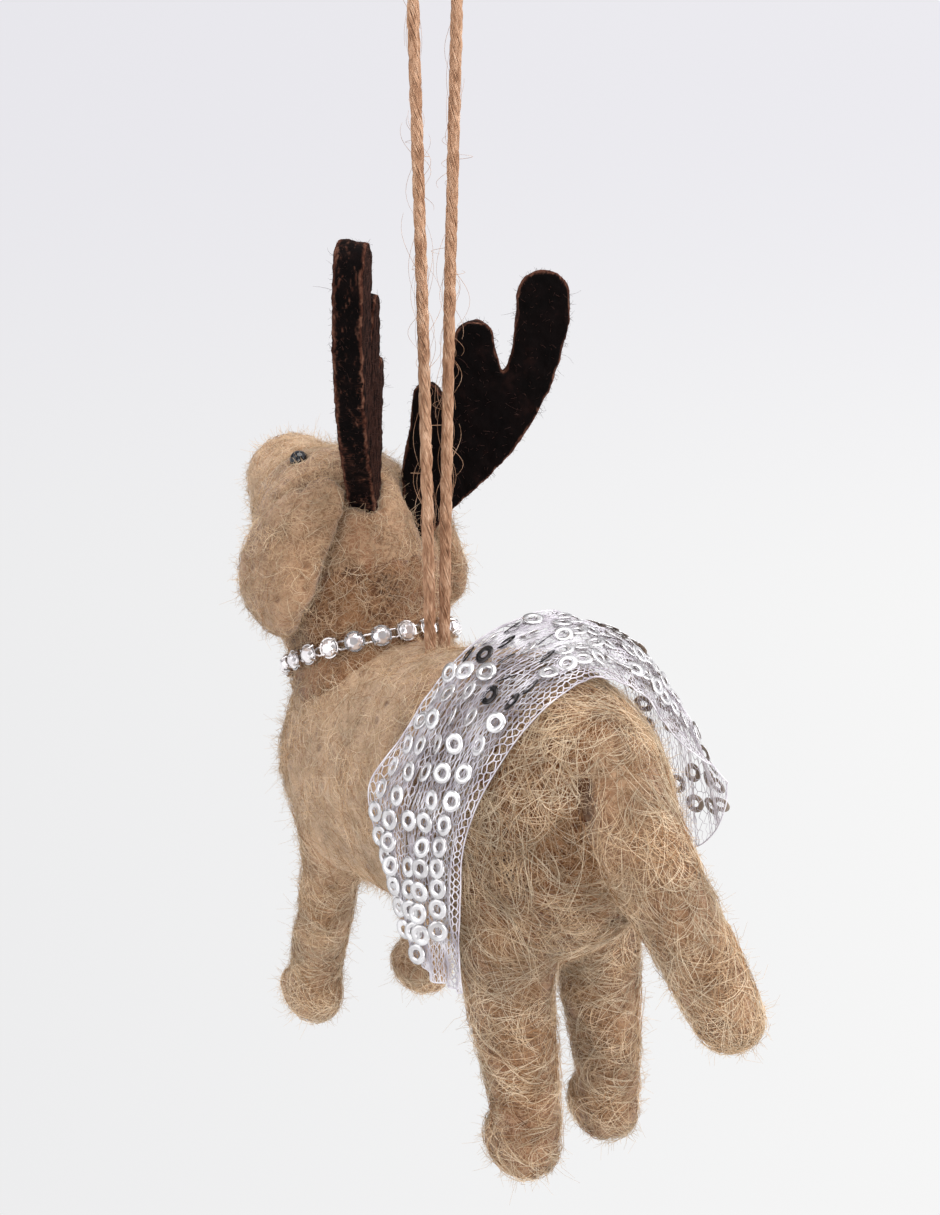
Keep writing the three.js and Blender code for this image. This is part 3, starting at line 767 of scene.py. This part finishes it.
def starts_on(corners, per_mm2, seed):
    """Random places spread evenly over triangles."""
    chances = np.random.default_rng(seed)
    first, second, third = corners[:, 0], corners[:, 1], corners[:, 2]
    areas = np.linalg.norm(np.cross(second - first, third - first), axis=1) / 2
    count = int(areas.sum() / MM**2 * per_mm2)
    rows = chances.choice(len(areas), size=count, p=areas / areas.sum())
    one, two = chances.random((2, count, 1))
    outside = one + two > 1
    one, two = np.where(outside, 1 - one, one), np.where(outside, 1 - two, two)
    return first[rows] + one * (second[rows] - first[rows]) + two * (third[rows] - first[rows])


body_nodes = [node for node in cores if not node.startswith("ear")]
grounds = {"body": ground_of(body_nodes, GROUND_VOXEL)}
for ear in EARS:
    grounds[ear] = ground_of([ear], EAR_VOXEL)

# %% Lie of the wool
TAIL_ROOT = Vector((0, 0.041, -0.104))
TAIL_WAY = Vector((-9, 16, -36)).normalized()
RUMP_FROM = 0.013
SWIRL_RADIUS = 0.022
LIE_WAVE = 9 * MM
LONG_COATS = ("rump", "leg", "tail")
SHORT_FIBRE = 5 * MM
LOOSE_SHARE = 0.3
LOCK_SPREAD = 0.2 * MM
ABOVE_SKIN = 0.02 * MM
# For each part: under and over locks per mm2, shortest and longest fibre in mm, radius in mm, wander in
# degrees, bend in radians and lift in mm
coats = {
    "rump": (0.6, 0.6, 6.0, 15.0, 0.036, 34, 1.7, 0.75),
    "torso": (0.0, 1.0, 2.5, 6.0, 0.034, 120, 2.2, 0.6),
    "leg": (0.6, 0.6, 4.0, 11.0, 0.035, 28, 1.5, 0.65),
    "tail": (0.6, 0.6, 4.0, 11.0, 0.035, 32, 1.6, 0.65),
    "neck": (0.0, 1.0, 2.5, 6.0, 0.034, 90, 2.0, 0.55),
    "head": (0.0, 1.0, 2.0, 5.0, 0.032, 120, 2.2, 0.5),
    "muzzle": (0.0, 1.0, 2.0, 4.5, 0.031, 120, 2.2, 0.45),
    "ear": (0.0, 1.1, 2.0, 5.0, 0.032, 70, 2.0, 0.5),
}
draw = random.Random(23)
# Noise vectors start from the clock unless they are seeded
noise.seed_set(23)


def part_at(spot):
    node = min(body_nodes, key=lambda name: trees[name].find_nearest(spot)[3])
    if node == "torso" and spot.y > RUMP_FROM:
        return "rump"
    return node.split("_")[0]


def lie_at(part, spot, out):
    """The direction in which wool lies at a spot, along the skin."""
    if part == "leg":
        return out.cross(Vector((0, 0.12, 1)))
    if part == "tail":
        return TAIL_WAY
    if part == "ear":
        return Vector((0, 0.35, -1))
    if part == "rump" and (spot - TAIL_ROOT).length < SWIRL_RADIUS:
        return out.cross(spot - TAIL_ROOT)
    return noise.noise_vector(spot / LIE_WAVE) + Vector((0, 0.3, -0.2))


def flat_on(way, out):
    flat = way - out * way.dot(out)
    return flat.normalized() if flat.length > 1e-6 else out.orthogonal().normalized()


def lay_fibre(tree, spot, way, length, bend, crest, thick, in_crease):
    """One fibre, as a list of (place, radius): it follows the skin, bows up and stops at a crease."""
    steps = 4 if length < SHORT_FIBRE else 7
    loose = draw.random() < LOOSE_SHARE
    sway = draw.gauss(0, 0.3)
    strand = []
    for i in range(steps + 1):
        share = i / steps
        near, out = tree.find_nearest(spot)[:2]
        if i > 1 and in_crease(near) > 0.5:
            break
        rise = crest * (share * 1.6 if loose else sin(pi * share)) + ABOVE_SKIN
        strand.append((near + out * rise, thick * (0.6 + 0.5 * sin(pi * share))))
        way = Quaternion(out, bend / steps + sway * (share - 0.5)) @ flat_on(way, out)
        spot = near + way * (length / steps)
    return strand


def lay_lock(tree, spot, out, part, over, in_crease):
    """The fibres of one lock, side by side. An under lock is short and flat, an over lock bows up."""
    _, _, shortest, longest, radius, wander, bend, lift = coats[part]
    length = draw.uniform(shortest, longest) * (1.0 if over else 0.5) * MM
    way = Quaternion(out, radians(draw.gauss(0, wander))) @ flat_on(lie_at(part, spot, out), out)
    arc = draw.gauss(0, bend)
    lock = []
    for _ in range(draw.choice((1, 2, 3, 4)) if over and part in LONG_COATS else 1):
        aside = Vector([draw.gauss(0, LOCK_SPREAD) for _ in range(3)])
        spread = Quaternion(out, draw.gauss(0, 0.12))
        crest = lift * MM * (draw.uniform(0.25, 1.0) if over else draw.uniform(0.05, 0.25))
        thick = radius * MM * draw.uniform(0.7, 1.15)
        lock.append(lay_fibre(
            tree, spot + aside, spread @ way, length * draw.uniform(0.8, 1.1), arc * draw.uniform(0.7, 1.2),
            crest, thick, in_crease,
        ))
    return lock


# %% Laying the wool
shades = {
    "pale": (240, 219, 190),
    "straw": (212, 181, 146),
    "tan": (172, 129, 90),
    "russet": (118, 73, 42),
}
# Which shades the under and the over fibres have, behind and in front
mixes = {
    ("hind", False): ("russet", "tan"),
    ("hind", True): ("pale", "pale", "straw", "straw", "tan"),
    ("fore", True): ("pale", "straw", "straw", "tan"),
}
heaps = {}
for seed, (name, (tree, corners)) in enumerate(grounds.items()):
    in_crease = crease_at if name == "body" else lambda spot: 0.0
    for over in (False, True):
        most = max(coat[over] for coat in coats.values())
        for start in starts_on(corners, most, 5 + 2 * seed + over):
            near, out = tree.find_nearest(Vector(start))[:2]
            part = part_at(near) if name == "body" else "ear"
            if draw.random() > coats[part][over] / most * (1 - in_crease(near)):
                continue
            coat = "hind" if part in LONG_COATS else "fore"
            shade = draw.choice(mixes[coat, over])
            heaps.setdefault((shade, coat), []).extend(lay_lock(tree, near, out, part, over, in_crease))


# %% Fibre finishes
def fibre_finish(name, colour):
    made, mix = material(name)
    drift = mix.noise(mix.place(), 160, 2)
    deep = tuple(c * 0.84 for c in colour)
    tint = mix.mix(mix.between(drift, 0.35, 0.65), paint(*deep), paint(*colour))
    surface(mix, Base_Color=tint, Roughness=0.6, Specular_IOR_Level=0.3)
    return made


MOST_IN_PIECE = 3900
for (shade, coat), heap in heaps.items():
    finish = bpy.data.materials.get("fibre_" + shade) or fibre_finish("fibre_" + shade, shades[shade])
    for i in range(0, len(heap), MOST_IN_PIECE):
        made = strands_piece(f"fibres_{shade}_{coat}_{i // MOST_IN_PIECE + 1}", heap[i : i + MOST_IN_PIECE])
        dress(made, finish, "dog", "wool")

# %% [markdown]
# A halo of short fine hair stands off the wool and softens every outline.

# %% Halo
draw = random.Random(31)
HALO_PIECES = 3
HALO_PER_MM2 = 1.9
HALO_RADIUS = 0.029 * MM
halo = []
for seed, (tree, corners) in enumerate(grounds.values()):
    for start in starts_on(corners, HALO_PER_MM2, seed + 71):
        near, out = tree.find_nearest(Vector(start))[:2]
        length = draw.uniform(0.6, 2.6) * MM * (1.8 if draw.random() < 0.08 else 1)
        way = (out * 0.8 + any_way(draw)).normalized()
        spin = Quaternion(way.orthogonal().normalized(), draw.gauss(0, 0.6))
        halo.append(short_hair(near, way, spin, length, 3, HALO_RADIUS, 0.28))
halo_finish = fibre_finish("fibre_halo", (222, 194, 162))
for i in range(HALO_PIECES):
    dress(strands_piece(f"halo_{i + 1}", halo[i::HALO_PIECES]), halo_finish, "dog", "wool")

# %% [markdown]
# ## Antlers
# The antlers are cut from thick felt. It is almost black. The corners between the flat faces and the cut
# edge are painted a lighter, redder brown, a painted sheen where their fuzz catches the light. The share of
# the normal along the antler's thickness tells face from edge.

# %% Antlers
ANTLER_VOXEL = 0.35 * MM
FLAT_AREA = 20 * MM**2
FUZZ_SHARE = 0.07
FUZZ_RADIUS = 0.024 * MM
draw = random.Random(41)


def antler(node):
    """An antler's felt form, with a ragged surface and the edge's share kept at each point."""
    made = soften(regrid(piece_of(merged(node), "felt_" + node), ANTLER_VOXEL), 6)
    flats = [f.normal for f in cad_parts[node].data.polygons if f.area > FLAT_AREA]
    across = max(flats, key=lambda n: sum(abs(n.dot(m)) for m in flats)).copy()
    edge = np.zeros(len(made.data.vertices), np.float32)
    for i, vertex in enumerate(made.data.vertices):
        normal = vertex.normal.copy()
        edge[i] = 1 - abs(normal.dot(across))
        ragged = noise.noise(vertex.co / (1.4 * MM)) * 0.2 + noise.noise(vertex.co / (0.5 * MM)) * 0.1
        ragged += noise.noise(vertex.co / (4.5 * MM)) * 0.4 * edge[i]
        vertex.co += normal * (ragged * MM + 0.05 * MM)
    made.data.attributes.new("edge", "FLOAT", "POINT").data.foreach_set("value", edge)
    return smooth(made)


dark_felt, mix = material("dark_felt")
place = mix.place()
edge = mix.attribute("edge")
upright = mix.add("Mapping", sockets={"Vector": place, "Scale": (1, 1, 0.3)})
streaks = mix.noise(upright, 1500, 3, 0.65, 0.4)
patch = mix.noise(place, 300, 3, 0.6)
face = mix.ramp(patch, [(0.35, (3, 1, 1)), (0.6, (8, 3, 3)), (0.75, (24, 11, 9))])
# Painted sheen: a lighter, redder brown at the corners, where fuzz catches the light, broken up by the
# streaks
sheen_brown = mix.ramp(streaks, [(0.34, (38, 18, 13)), (0.5, (70, 40, 30)), (0.66, (104, 72, 58))])
corner = 4 * edge * (1 - edge)
corner_sheen = mix.between(corner * 0.8 + streaks * 0.35 + patch * 0.15, 0.42, 1.1)
tint = mix.mix(corner_sheen, face, sheen_brown)
surface(
    mix, Base_Color=tint, Roughness=0.95, Specular_IOR_Level=0.1, Sheen_Weight=0.4, Sheen_Roughness=0.3,
    Sheen_Tint=paint(128, 78, 62), Normal=mix.bump(streaks + patch, 0.22 * MM, 0.6),
)
fuzz = []
for node in ("antler_left", "antler_right"):
    made = antler(node)
    dress(made, dark_felt, "dog", "dark_felt", node)
    for vertex in made.data.vertices:
        if draw.random() > FUZZ_SHARE:
            continue
        out = vertex.normal
        way = (out * 0.6 + any_way(draw)).normalized()
        spin = Quaternion(out.orthogonal().normalized(), draw.gauss(0, 0.5))
        length = draw.uniform(0.3, 1.1) * MM * (2.6 if draw.random() < 0.03 else 1)
        fuzz.append(short_hair(vertex.co, way, spin, length, 4, FUZZ_RADIUS, 0.2))
dress(strands_piece("antler_fuzz", fuzz), fibre_finish("fibre_dark", (66, 34, 26)), "dog", "dark_felt")

# %% [markdown]
# ## Eyes and nose
# The eyes are glossy beads half sunk in the wool. The nose, on the far side of the muzzle, is a pad of
# dark felted wool.

# %% Eyes and nose
glossy = speckled(
    "black_bead", (900, 2), (8, 9, 13), (20, 22, 30), (0.2, 0.9, 0.12, 0.12), Coat_Weight=0.2,
)
for node in ("eye_left", "eye_right"):
    dress(rounded(node, "bead_" + node, 2), glossy, "dog", "eye_bead", node)

pad = felted("nose", voxel=0.3 * MM, rounds=3, lump=0.08)
nose_wool, mix = material("nose_wool")
fine = mix.noise(mix.place(), 1400, 3, 0.6, 0.8)
surface(
    mix, Base_Color=mix.ramp(fine, [(0.35, (20, 12, 10)), (0.65, (62, 38, 30))]), Roughness=0.9,
    Normal=mix.bump(fine, 0.2 * MM, 0.7),
)
dress(pad, nose_wool, "dog", "nose_felt", "nose")

# %% [markdown]
# ## Collar
# The collar is cup chain: each glass stone sits in a small silver cup with four claws bent over its
# edge, and two thin bars join each cup to the next. The stones' solids give the places.

# %% Collar places
STONE = 1.25 * MM
HALF_STONE = 0.675 * MM
stone_names = sorted(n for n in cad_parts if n.startswith("collar_stone"))
middles = [sum(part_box(name), Vector()) / 2 for name in stone_names]
ring_centre = sum(middles, Vector()) / len(middles)
ring_axis = sum(
    ((a - ring_centre).cross(b - ring_centre) for a, b in zip(middles, middles[1:] + middles[:1])), Vector()
).normalized()


def seat(middle):
    """The frame of one cup: x along the chain, y across it, z outwards, with its origin in the stone."""
    out = (middle - ring_centre) - ring_axis * (middle - ring_centre).dot(ring_axis)
    out.normalize()
    along = ring_axis.cross(out)
    turned = Matrix((along, ring_axis, out)).transposed().to_4x4()
    turned.translation = middle
    return turned


# %% Stones
clear, mix = material("clear_stone")
spark = mix.noise(mix.place(), 700, 1)
surface(
    mix, Base_Color=mix.ramp(spark, [(0.3, (240, 234, 238)), (0.7, (255, 251, 252))]),
    Roughness=0.04, Metallic=0.62, Coat_Weight=1.0,
)


def stone_form():
    """A round brilliant: a table, kite and girdle facets above, and main facets below, by convex hull."""
    form = bmesh.new()
    for count, radius, height, turned in (
        (8, 0.5, 0.67, 0.0),
        (8, 0.8, 0.4, 0.5),
        (16, 1.0, 0.07, 0.0),
        (16, 1.0, -0.04, 0.0),
        (8, 0.55, -0.38, 0.5),
    ):
        for i in range(count):
            turn = 2 * pi * (i + turned) / count
            form.verts.new((radius * STONE * cos(turn), radius * STONE * sin(turn), height * MM))
    form.verts.new((0, 0, -HALF_STONE))
    ops.convex_hull(form, input=form.verts)
    ops.recalc_face_normals(form, faces=form.faces)
    return form


for name, middle in zip(stone_names, middles):
    form = stone_form()
    ops.transform(form, matrix=seat(middle), verts=form.verts)
    dress(piece_of(form, "cut_" + name), clear, "dog", "stones", name)

# %% Cups and bars
CUP = STONE + 0.28 * MM
CUP_FLOOR = -1.17 * MM
BAR_RADIUS = 0.2 * MM
BAR_APART = 0.575 * MM
BAR_HEIGHT = -0.72 * MM
# The wall of a cup from its foot over the rim and down inside, as (height in mm, share of the radius)
cup_wall = ((-0.8, 1.0), (-0.06, 1.0), (-0.06, 0.88), (-0.75, 0.88))
silver = speckled(
    "silver_plate", (800, 3, 0.6), (188, 182, 180), (226, 222, 222), (0.3, 0.8, 0.14, 0.2), Metallic=1.0,
)
at_floor = Matrix.Translation((0, 0, CUP_FLOOR))
chain = bmesh.new()
for middle, following in zip(middles, middles[1:] + middles[:1]):
    cup = bmesh.new()
    ops.create_circle(cup, cap_ends=True, segments=24, radius=CUP * 0.86, matrix=at_floor)
    for height, radius in cup_wall:
        rim = [e for e in cup.edges if e.is_boundary] or list(cup.faces[0].edges)
        grown = ops.extrude_edge_only(cup, edges=rim)["geom"]
        for vertex in (g for g in grown if isinstance(g, bmesh.types.BMVert)):
            flat = vertex.co.xy.normalized() * (CUP * radius)
            vertex.co = (flat.x, flat.y, height * MM)
    ops.holes_fill(cup, edges=[e for e in cup.edges if e.is_boundary], sides=0)
    for i in range(4):
        turn = pi / 4 + pi / 2 * i
        claw = ops.create_cone(
            cup, cap_ends=True, segments=8, radius1=0.25 * MM, radius2=0.16 * MM, depth=0.75 * MM,
        )["verts"]
        tip = [v for v in claw if v.co.z > 0]
        ops.translate(cup, verts=tip, vec=(-0.38 * MM, 0, 0))
        ops.translate(cup, verts=claw, vec=(CUP * 0.97, 0, 0.12 * MM))
        ops.rotate(cup, verts=claw, cent=(0, 0, 0), matrix=Matrix.Rotation(turn, 3, "Z"))
    ops.recalc_face_normals(cup, faces=cup.faces)
    ops.transform(cup, matrix=seat(middle), verts=cup.verts)
    half_way = (middle + following) / 2
    gap = (following - middle).length - 1.7 * CUP
    for side in (-1, 1):
        lying = Matrix.Translation((0, side * BAR_APART, BAR_HEIGHT)) @ Matrix.Rotation(pi / 2, 4, "Y")
        ops.create_cone(
            cup, cap_ends=True, segments=10, radius1=BAR_RADIUS, radius2=BAR_RADIUS, depth=gap,
            matrix=seat(half_way) @ lying,
        )
    made = bpy.data.meshes.new("cup")
    cup.to_mesh(made)
    cup.free()
    chain.from_mesh(made)
collar = piece_of(chain, "silver_chain")
dress(smooth(collar), silver, "dog", "silver", "collar_chain")
sharp = collar.modifiers.new("sharp", "EDGE_SPLIT")
sharp.split_angle = radians(35)
settle(collar)

# %% [markdown]
# ## Skirt
# The skirt is a strip of net with flat ring sequins. Zigzag threads with ties between them make six-sided
# holes, and finer threads run along the strip. All lie on the surface of the skirt's solid: three rows of
# points over the rump, joined by a curve across. Folds are deeper at the ends, where the net hangs free.

# %% Skirt surface
HALF_WIDTH = 15.5
RUMP_TOP = 67.765
SOLES = 159
# How far the net stands off its surface, in mm: everywhere, in its folds, and at one corner of its front
CLEARANCE = 0.35
FOLD = 0.4
WRINKLE = 0.22
CRUMPLE = 0.2
RIDGE = 0.1
KINK = 2.4
KINK_AT = 0.195
KINK_WIDTH = 0.055
# Three rows from the left hem to the right hem. A point is a share of the half width, and mm back and down
skirt_rows = [
    [
        (1.05, 33, 39.3), (1.07, 32.5, 28), (1.02, 33, 18), (0.6, 35, 6.3), (0, 36.5, 0.2),
        (-0.55, 35.5, 3.6), (-0.93, 33, 9), (-1.36, 32, 15), (-1.8, 32, 20),
    ],
    [
        (1.17, 26.5, 38), (1.19, 24.5, 27), (1.1, 25, 15), (0.68, 27.5, 1.6), (0, 29, -3.2),
        (-0.6, 28, -2.4), (-1.04, 27, 1.6), (-1.55, 26, 13), (-1.84, 24.5, 31),
    ],
    [
        (1.085, 21.7, 33.5), (1.14, 15.6, 23), (1.04, 17.7, 11), (0.62, 20.5, -0.2), (-0.13, 22.5, -5.8),
        (-0.65, 21, -2.8), (-1.1, 20, 4.3), (-1.4, 18, 16), (-1.55, 15, 31),
    ],
]
skirt_rows = [
    [Vector((wide * HALF_WIDTH, back, RUMP_TOP - drop - SOLES)) * MM for wide, back, drop in row]
    for row in skirt_rows
]


def skirt_point(along, across):
    rear, centre, front = (through(row, along) for row in skirt_rows)
    pull = 2 * centre - (rear + front) / 2
    return rear * (1 - across) ** 2 + pull * (2 * across * (1 - across)) + front * across**2


def skirt_normal(along, across):
    step = 0.01
    near, far = max(0, along - step), min(1, along + step)
    left, right = max(0, across - step), min(1, across + step)
    lengthwise = skirt_point(far, across) - skirt_point(near, across)
    crosswise = skirt_point(along, right) - skirt_point(along, left)
    return lengthwise.cross(crosswise).normalized()


def hang_loose(along):
    """How freely the net hangs: 0 on top of the rump and 1 at the hems."""
    return abs(2 * along - 1) ** 1.5


def wave(turns):
    return sin(2 * pi * turns)


def drape(along, across, lift=0.0):
    """A point of the hung net, lift above its middle, and the net's outward direction there."""
    loose = hang_loose(along)
    drift = noise.noise(Vector((along * 9, across * 2, 3.1)))
    small = noise.noise(Vector((along * 16, across * 12, 8.7)))
    rise = CLEARANCE
    rise += FOLD * loose * (1 + cos(2 * pi * 3 * across))
    rise += WRINKLE * wave(6.5 * across + 0.9 * drift) * (0.5 + loose)
    rise += CRUMPLE * small * min(1, 5 * across) + RIDGE * wave(14 * across + 1.2 * small) * (1 - loose)
    rise += KINK * exp(-(((along - KINK_AT) / KINK_WIDTH) ** 2)) * across**2
    out = skirt_normal(along, across)
    return skirt_point(along, across) + out * (rise * MM + lift), out


def mean_length(lines):
    return sum(sum((b - a).length for a, b in zip(line, line[1:])) for line in lines) / len(lines)


strip_length = mean_length([[skirt_point(i / 200, across / 4) for i in range(201)] for across in range(5)])
strip_width = mean_length([[skirt_point(along / 20, i / 20) for i in range(21)] for along in range(21)])
print("skirt", round(strip_width / MM, 1), "by", round(strip_length / MM, 1), "mm")

# %% Net
THREAD = 0.088 * MM
ZIGZAGS = 38
FINE_FROM = 0.64
FINE_SHARE = 0.65
HEM_LINES = 5
HEM_CORD = 1.4 * THREAD
GATHERS = 64
GATHER_THREAD = 0.042 * MM
CELL_HALF_LONG = 0.55 * MM
draw = random.Random(53)
turns = round(strip_length / CELL_HALF_LONG)


def gathered(share):
    """The place of a thread across the strip: wide meshes at the hems, gathered ones between them."""
    return share + 0.035 * wave(2 * share) - 0.02 * wave(share)


def net_knot(line, turn):
    """A corner of the net: the zigzag lines lean to alternate sides, so that neighbours nearly touch."""
    lean = (0.25 if (line + turn) % 2 else -0.25) + draw.gauss(0, 0.12)
    across = gathered(min(1, max(0, (line + 0.5 + lean) / ZIGZAGS)))
    along = min(1, max(0, (turn + draw.gauss(0, 0.2)) / turns))
    return drape(along, across)[0]


def fineness(turn):
    """Threads are finer on the right side, where the net is seen against the light."""
    return FINE_SHARE if turn > FINE_FROM * turns else 1


knots = [[net_knot(line, turn) for turn in range(turns + 1)] for line in range(ZIGZAGS)]
net_strands = []
for line in knots:
    thick = THREAD * draw.uniform(0.75, 1.35)
    net_strands.append([(spot, thick * fineness(turn)) for turn, spot in enumerate(line)])
for line in range(ZIGZAGS - 1):
    at_hem = line < HEM_LINES or line >= ZIGZAGS - HEM_LINES
    for turn in range(turns + 1):
        if (line + turn) % 2 and (at_hem or draw.random() < 0.6):
            thick = THREAD * fineness(turn)
            net_strands.append([(knots[line][turn], thick), (knots[line + 1][turn], thick)])
for across in (0.0, 1.0):
    net_strands.append([(drape(i / 300, across)[0], HEM_CORD) for i in range(301)])
for along in (0.0, 1.0):
    net_strands.append([(drape(along, i / 60)[0], HEM_CORD) for i in range(61)])
net = strands_piece("sequin_net", net_strands, sides=3)

gather_strands = []
for i in range(GATHERS):
    middle = 0.1 + 0.82 * (i + draw.random()) / GATHERS
    share = 1.0 if draw.random() < 0.35 else draw.uniform(0.6, 0.72)
    strand = []
    for j in range(round(turns * share) + 1):
        along = j / turns
        sway = 0.02 * noise.noise(Vector((along * 22, i * 3.7, 0)))
        sway += 0.01 * noise.noise(Vector((along * 60, i, 5)))
        spot = drape(along, middle + sway, 0.25 * MM * noise.noise(Vector((along * 30, i * 1.9, 9))))[0]
        strand.append((spot, GATHER_THREAD))
    gather_strands.append(strand)
gathers = strands_piece("net_gathers", gather_strands, sides=3)

tulle, mix = material("tulle")
sheen_patch = mix.noise(mix.place(), 320, 2)
tint = mix.ramp(sheen_patch, [(0.3, (172, 164, 174)), (0.5, (210, 204, 212)), (0.7, (244, 241, 246))])
surface(
    mix, Base_Color=tint, Roughness=mix.between(sheen_patch, 0.3, 0.7) * 0.2 + 0.3,
    Metallic=mix.between(sheen_patch, 0.45, 0.7) * 0.35, Sheen_Weight=0.2,
)
dress(net, tulle, "dog", "sequin_net", "skirt")
dress(gathers, tulle, "dog", "sequin_net")

# %% Sequins
SEQUIN = 1.4 * MM
SEQUIN_STEP = 2.95 * MM
COLUMNS = 5
FIRST_COLUMN = 3.3 * MM
FIRST_ROW = 1.8 * MM
LAST_ROW = 1.5 * MM
KEPT_SHARE = 0.9
SHADED = (0.37, 0.5)
SIDES = 24
draw = random.Random(57)
ring = bmesh.new()
# The ring's section, from the outer edge over the dished front to the eyelet, as (radius, height in mm)
rim_section = ((1.0, 0.0), (1.0, 0.08), (0.7, 0.14), (0.42, 0.1), (0.4, 0.03), (0.68, 0.07))
profile = [ring.verts.new((SEQUIN * radius, 0, height * MM)) for radius, height in rim_section]
edges = [ring.edges.new((a, b)) for a, b in zip(profile, profile[1:] + profile[:1])]
ops.spin(
    ring, geom=profile + edges, cent=(0, 0, 0), axis=(0, 0, 1), angle=2 * pi, steps=SIDES,
    use_merge=True,
)
ops.remove_doubles(ring, verts=ring.verts, dist=1e-7)
ops.recalc_face_normals(ring, faces=ring.faces)
for face in ring.faces:
    face.material_index = 1 if face.normal.z < -0.1 else 0
ring_mesh = bpy.data.meshes.new("sequin")
ring.to_mesh(ring_mesh)
ring.free()

spangles = bmesh.new()
for column in range(COLUMNS):
    across = (FIRST_COLUMN + column * SEQUIN_STEP) / strip_width
    along = (FIRST_ROW + (column % 2) * 0.5 * SEQUIN_STEP) / strip_length
    while along < 1 - LAST_ROW / strip_length:
        loose = hang_loose(along)
        spot, out = drape(along, across + draw.gauss(0, 0.006), (0.25 + 0.5 * loose) * MM)
        tilt = 0.07 + 0.14 * (1 - loose) ** 2
        on_left = along < 0.5
        forward = (1 - loose) ** 3 * draw.choice((0, 0.7, 1.0, 1.2)) * (1 if on_left else 0.3)
        lean = out + Vector([draw.gauss(0, tilt) for _ in range(3)]) + Vector((0.2, -1.0, 0.3)) * forward
        if on_left:
            lean += Vector((0, 0.4, 0.1)) * loose
        # Some rings near the crest take a near-black copy of the foil: a painted dark reflection
        shaded = draw.random() < 0.8 and SHADED[0] < along < SHADED[1] and forward > 0.3
        turned = lean.to_track_quat("Z", "Y").to_matrix().to_4x4()
        turned.translation = spot
        if draw.random() < KEPT_SHARE:
            before = len(spangles.verts), len(spangles.faces)
            spangles.from_mesh(ring_mesh)
            spangles.verts.ensure_lookup_table()
            spangles.faces.ensure_lookup_table()
            ops.transform(spangles, matrix=turned, verts=spangles.verts[before[0] :])
            for face in spangles.faces[before[1] :] if shaded else ():
                face.material_index = 2
        along += SEQUIN_STEP * draw.uniform(0.97, 1.04) / strip_length
sequins = piece_of(spangles, "sequins")

foils = [
    speckled(name, (420, 1), dull, bright, (0.25, 0.8, span, least), Metallic=metal)
    for name, dull, bright, span, least, metal in (
        ("sequin_foil", (206, 203, 204), (248, 247, 249), 0.15, 0.16, 0.7),
        # The backs' grey-brown is a painted reflection of the wool and painted shade of their unlit side
        ("sequin_back", (122, 108, 95), (172, 156, 140), 0.2, 0.35, 0.4),
        # Near-black foil: a painted dark reflection
        ("sequin_painted_reflection", (24, 22, 22), (74, 70, 70), 0.15, 0.14, 0.8),
    )
]
dress(smooth(sequins), foils[0], "dog", "sequin_net")
for finish in foils[1:]:
    sequins.data.materials.append(finish)

# %% [markdown]
# ## Buried knot
# Inside the back, out of sight, the two ends of the twine are tied in an overhand knot.

# %% Buried knot
dress(rounded("hanger_knot", "twine_knot", 1), jute, "dog", "twine", "hanger_knot")
